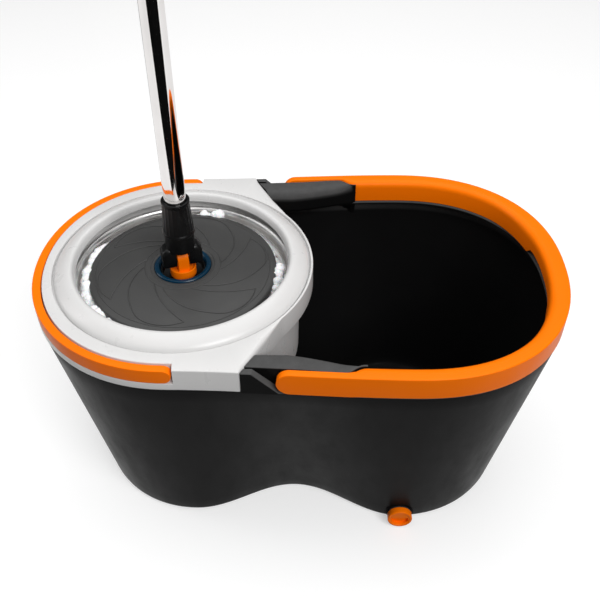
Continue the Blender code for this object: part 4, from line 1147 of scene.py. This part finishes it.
def make_stage():
    """A pale floor, and a wall far round it that only the camera sees."""
    mat, tree, shader = new_material("floor", (0.60, 0.60, 0.60), 0.7, Specular_IOR_Level=0.1)
    tree.links.new(blend_colour(tree, noise(tree, 3, 4), (0.595, 0.595, 0.595), (0.605, 0.605, 0.605)),
                   shader.inputs["Base Color"])
    shader.inputs["Emission Color"].default_value = (1.0, 1.0, 1.0, 1.0)
    shader.inputs["Emission Strength"].default_value = 0.47
    stage_piece("floor", lambda b: b.faces.new([b.verts.new((x, y, -0.0001)) for x, y in (
        (-8.0, -8.0), (8.0, -8.0), (8.0, 8.0), (-8.0, 8.0))]), mat)
    around = [(7.9 * math.cos(a), 7.9 * math.sin(a)) for a in np.radians(np.arange(0, 360, 5))]
    wall = stage_piece("backdrop", lambda b: skin(b, [[(x, y, z) for x, y in around] for z in (-0.0001, 9.0)],
                                                  caps=False), mat)
    wall.visible_glossy = wall.visible_shadow = False


def area_light(name, place_at, aim, size, power):
    data = bpy.data.lights.new(name, "AREA")
    data.shape = "RECTANGLE"
    data.size, data.size_y = size
    data.energy = power
    lamp = bpy.data.objects.new(name, data)
    lamp.location = place_at
    lamp.rotation_euler = (Vector(aim) - Vector(place_at)).to_track_quat("-Z", "Y").to_euler()
    bpy.context.scene.collection.objects.link(lamp)


def reflector(name, points, z):
    """A dark card that only glossy surfaces see; a studio's flags give chrome its dark bands this way."""
    mat, _, _ = new_material(name, (0.004, 0.004, 0.004), 1.0, Specular_IOR_Level=0.0)
    card = stage_piece(name, lambda b: b.faces.new([b.verts.new((x, y, z)) for x, y in points]), mat)
    card.visible_camera = card.visible_shadow = False
    card.visible_transmission = card.visible_volume_scatter = False


def from_pole(*spots):
    """Floor points given by their distance and direction in degrees from the pole."""
    return [(SPIN_X + r * math.cos(math.radians(a)), r * math.sin(math.radians(a))) for r, a in spots]


make_stage()
reflector("front_flag", from_pole((0.35, -70), (0.60, -112), (1.20, -124), (2.50, -126), (2.50, -20),
                                  (1.20, -22), (0.60, -36)), 0.0015)
reflector("back_flag", from_pole((0.30, 112), (2.5, 106), (2.5, 128)), 0.0015)
world = bpy.data.worlds.new("studio")
world.use_nodes = True
sky = world.node_tree.nodes["Background"]
sky.inputs["Color"].default_value = (1.0, 1.0, 1.0, 1.0)
sky.inputs["Strength"].default_value = 0.12
bpy.context.scene.world = world
area_light("overhead", (-0.1, 0.25, 1.9), (0.0, 0.0, 0.1), (2.4, 2.0), 29)
area_light("front_fill", (0.9, -1.5, 1.8), (0.0, 0.0, 0.15), (1.2, 1.0), 38)
area_light("left_strip", (-1.6, 0.2, 0.9), (0.0, 0.0, 0.15), (0.5, 1.2), 5)

camera_data = bpy.data.cameras.new("camera")
camera_data.lens, camera_data.sensor_width = 51.22, 36.0
camera = bpy.data.objects.new("camera", camera_data)
right = Vector((0.99992781, 0.01156695, -0.00325224))
up = Vector((-0.00524278, 0.66356315, 0.74810191))
forward = Vector((-0.01081133, 0.74803085, -0.66357589))
camera.matrix_world = Matrix.Translation((0.00796, -0.56356, 0.68245)) @ Matrix(
    (right, up, -forward)).transposed().to_4x4()
bpy.context.scene.collection.objects.link(camera)
bpy.context.scene.camera = camera

bpy.context.scene.view_settings.view_transform = "Standard"
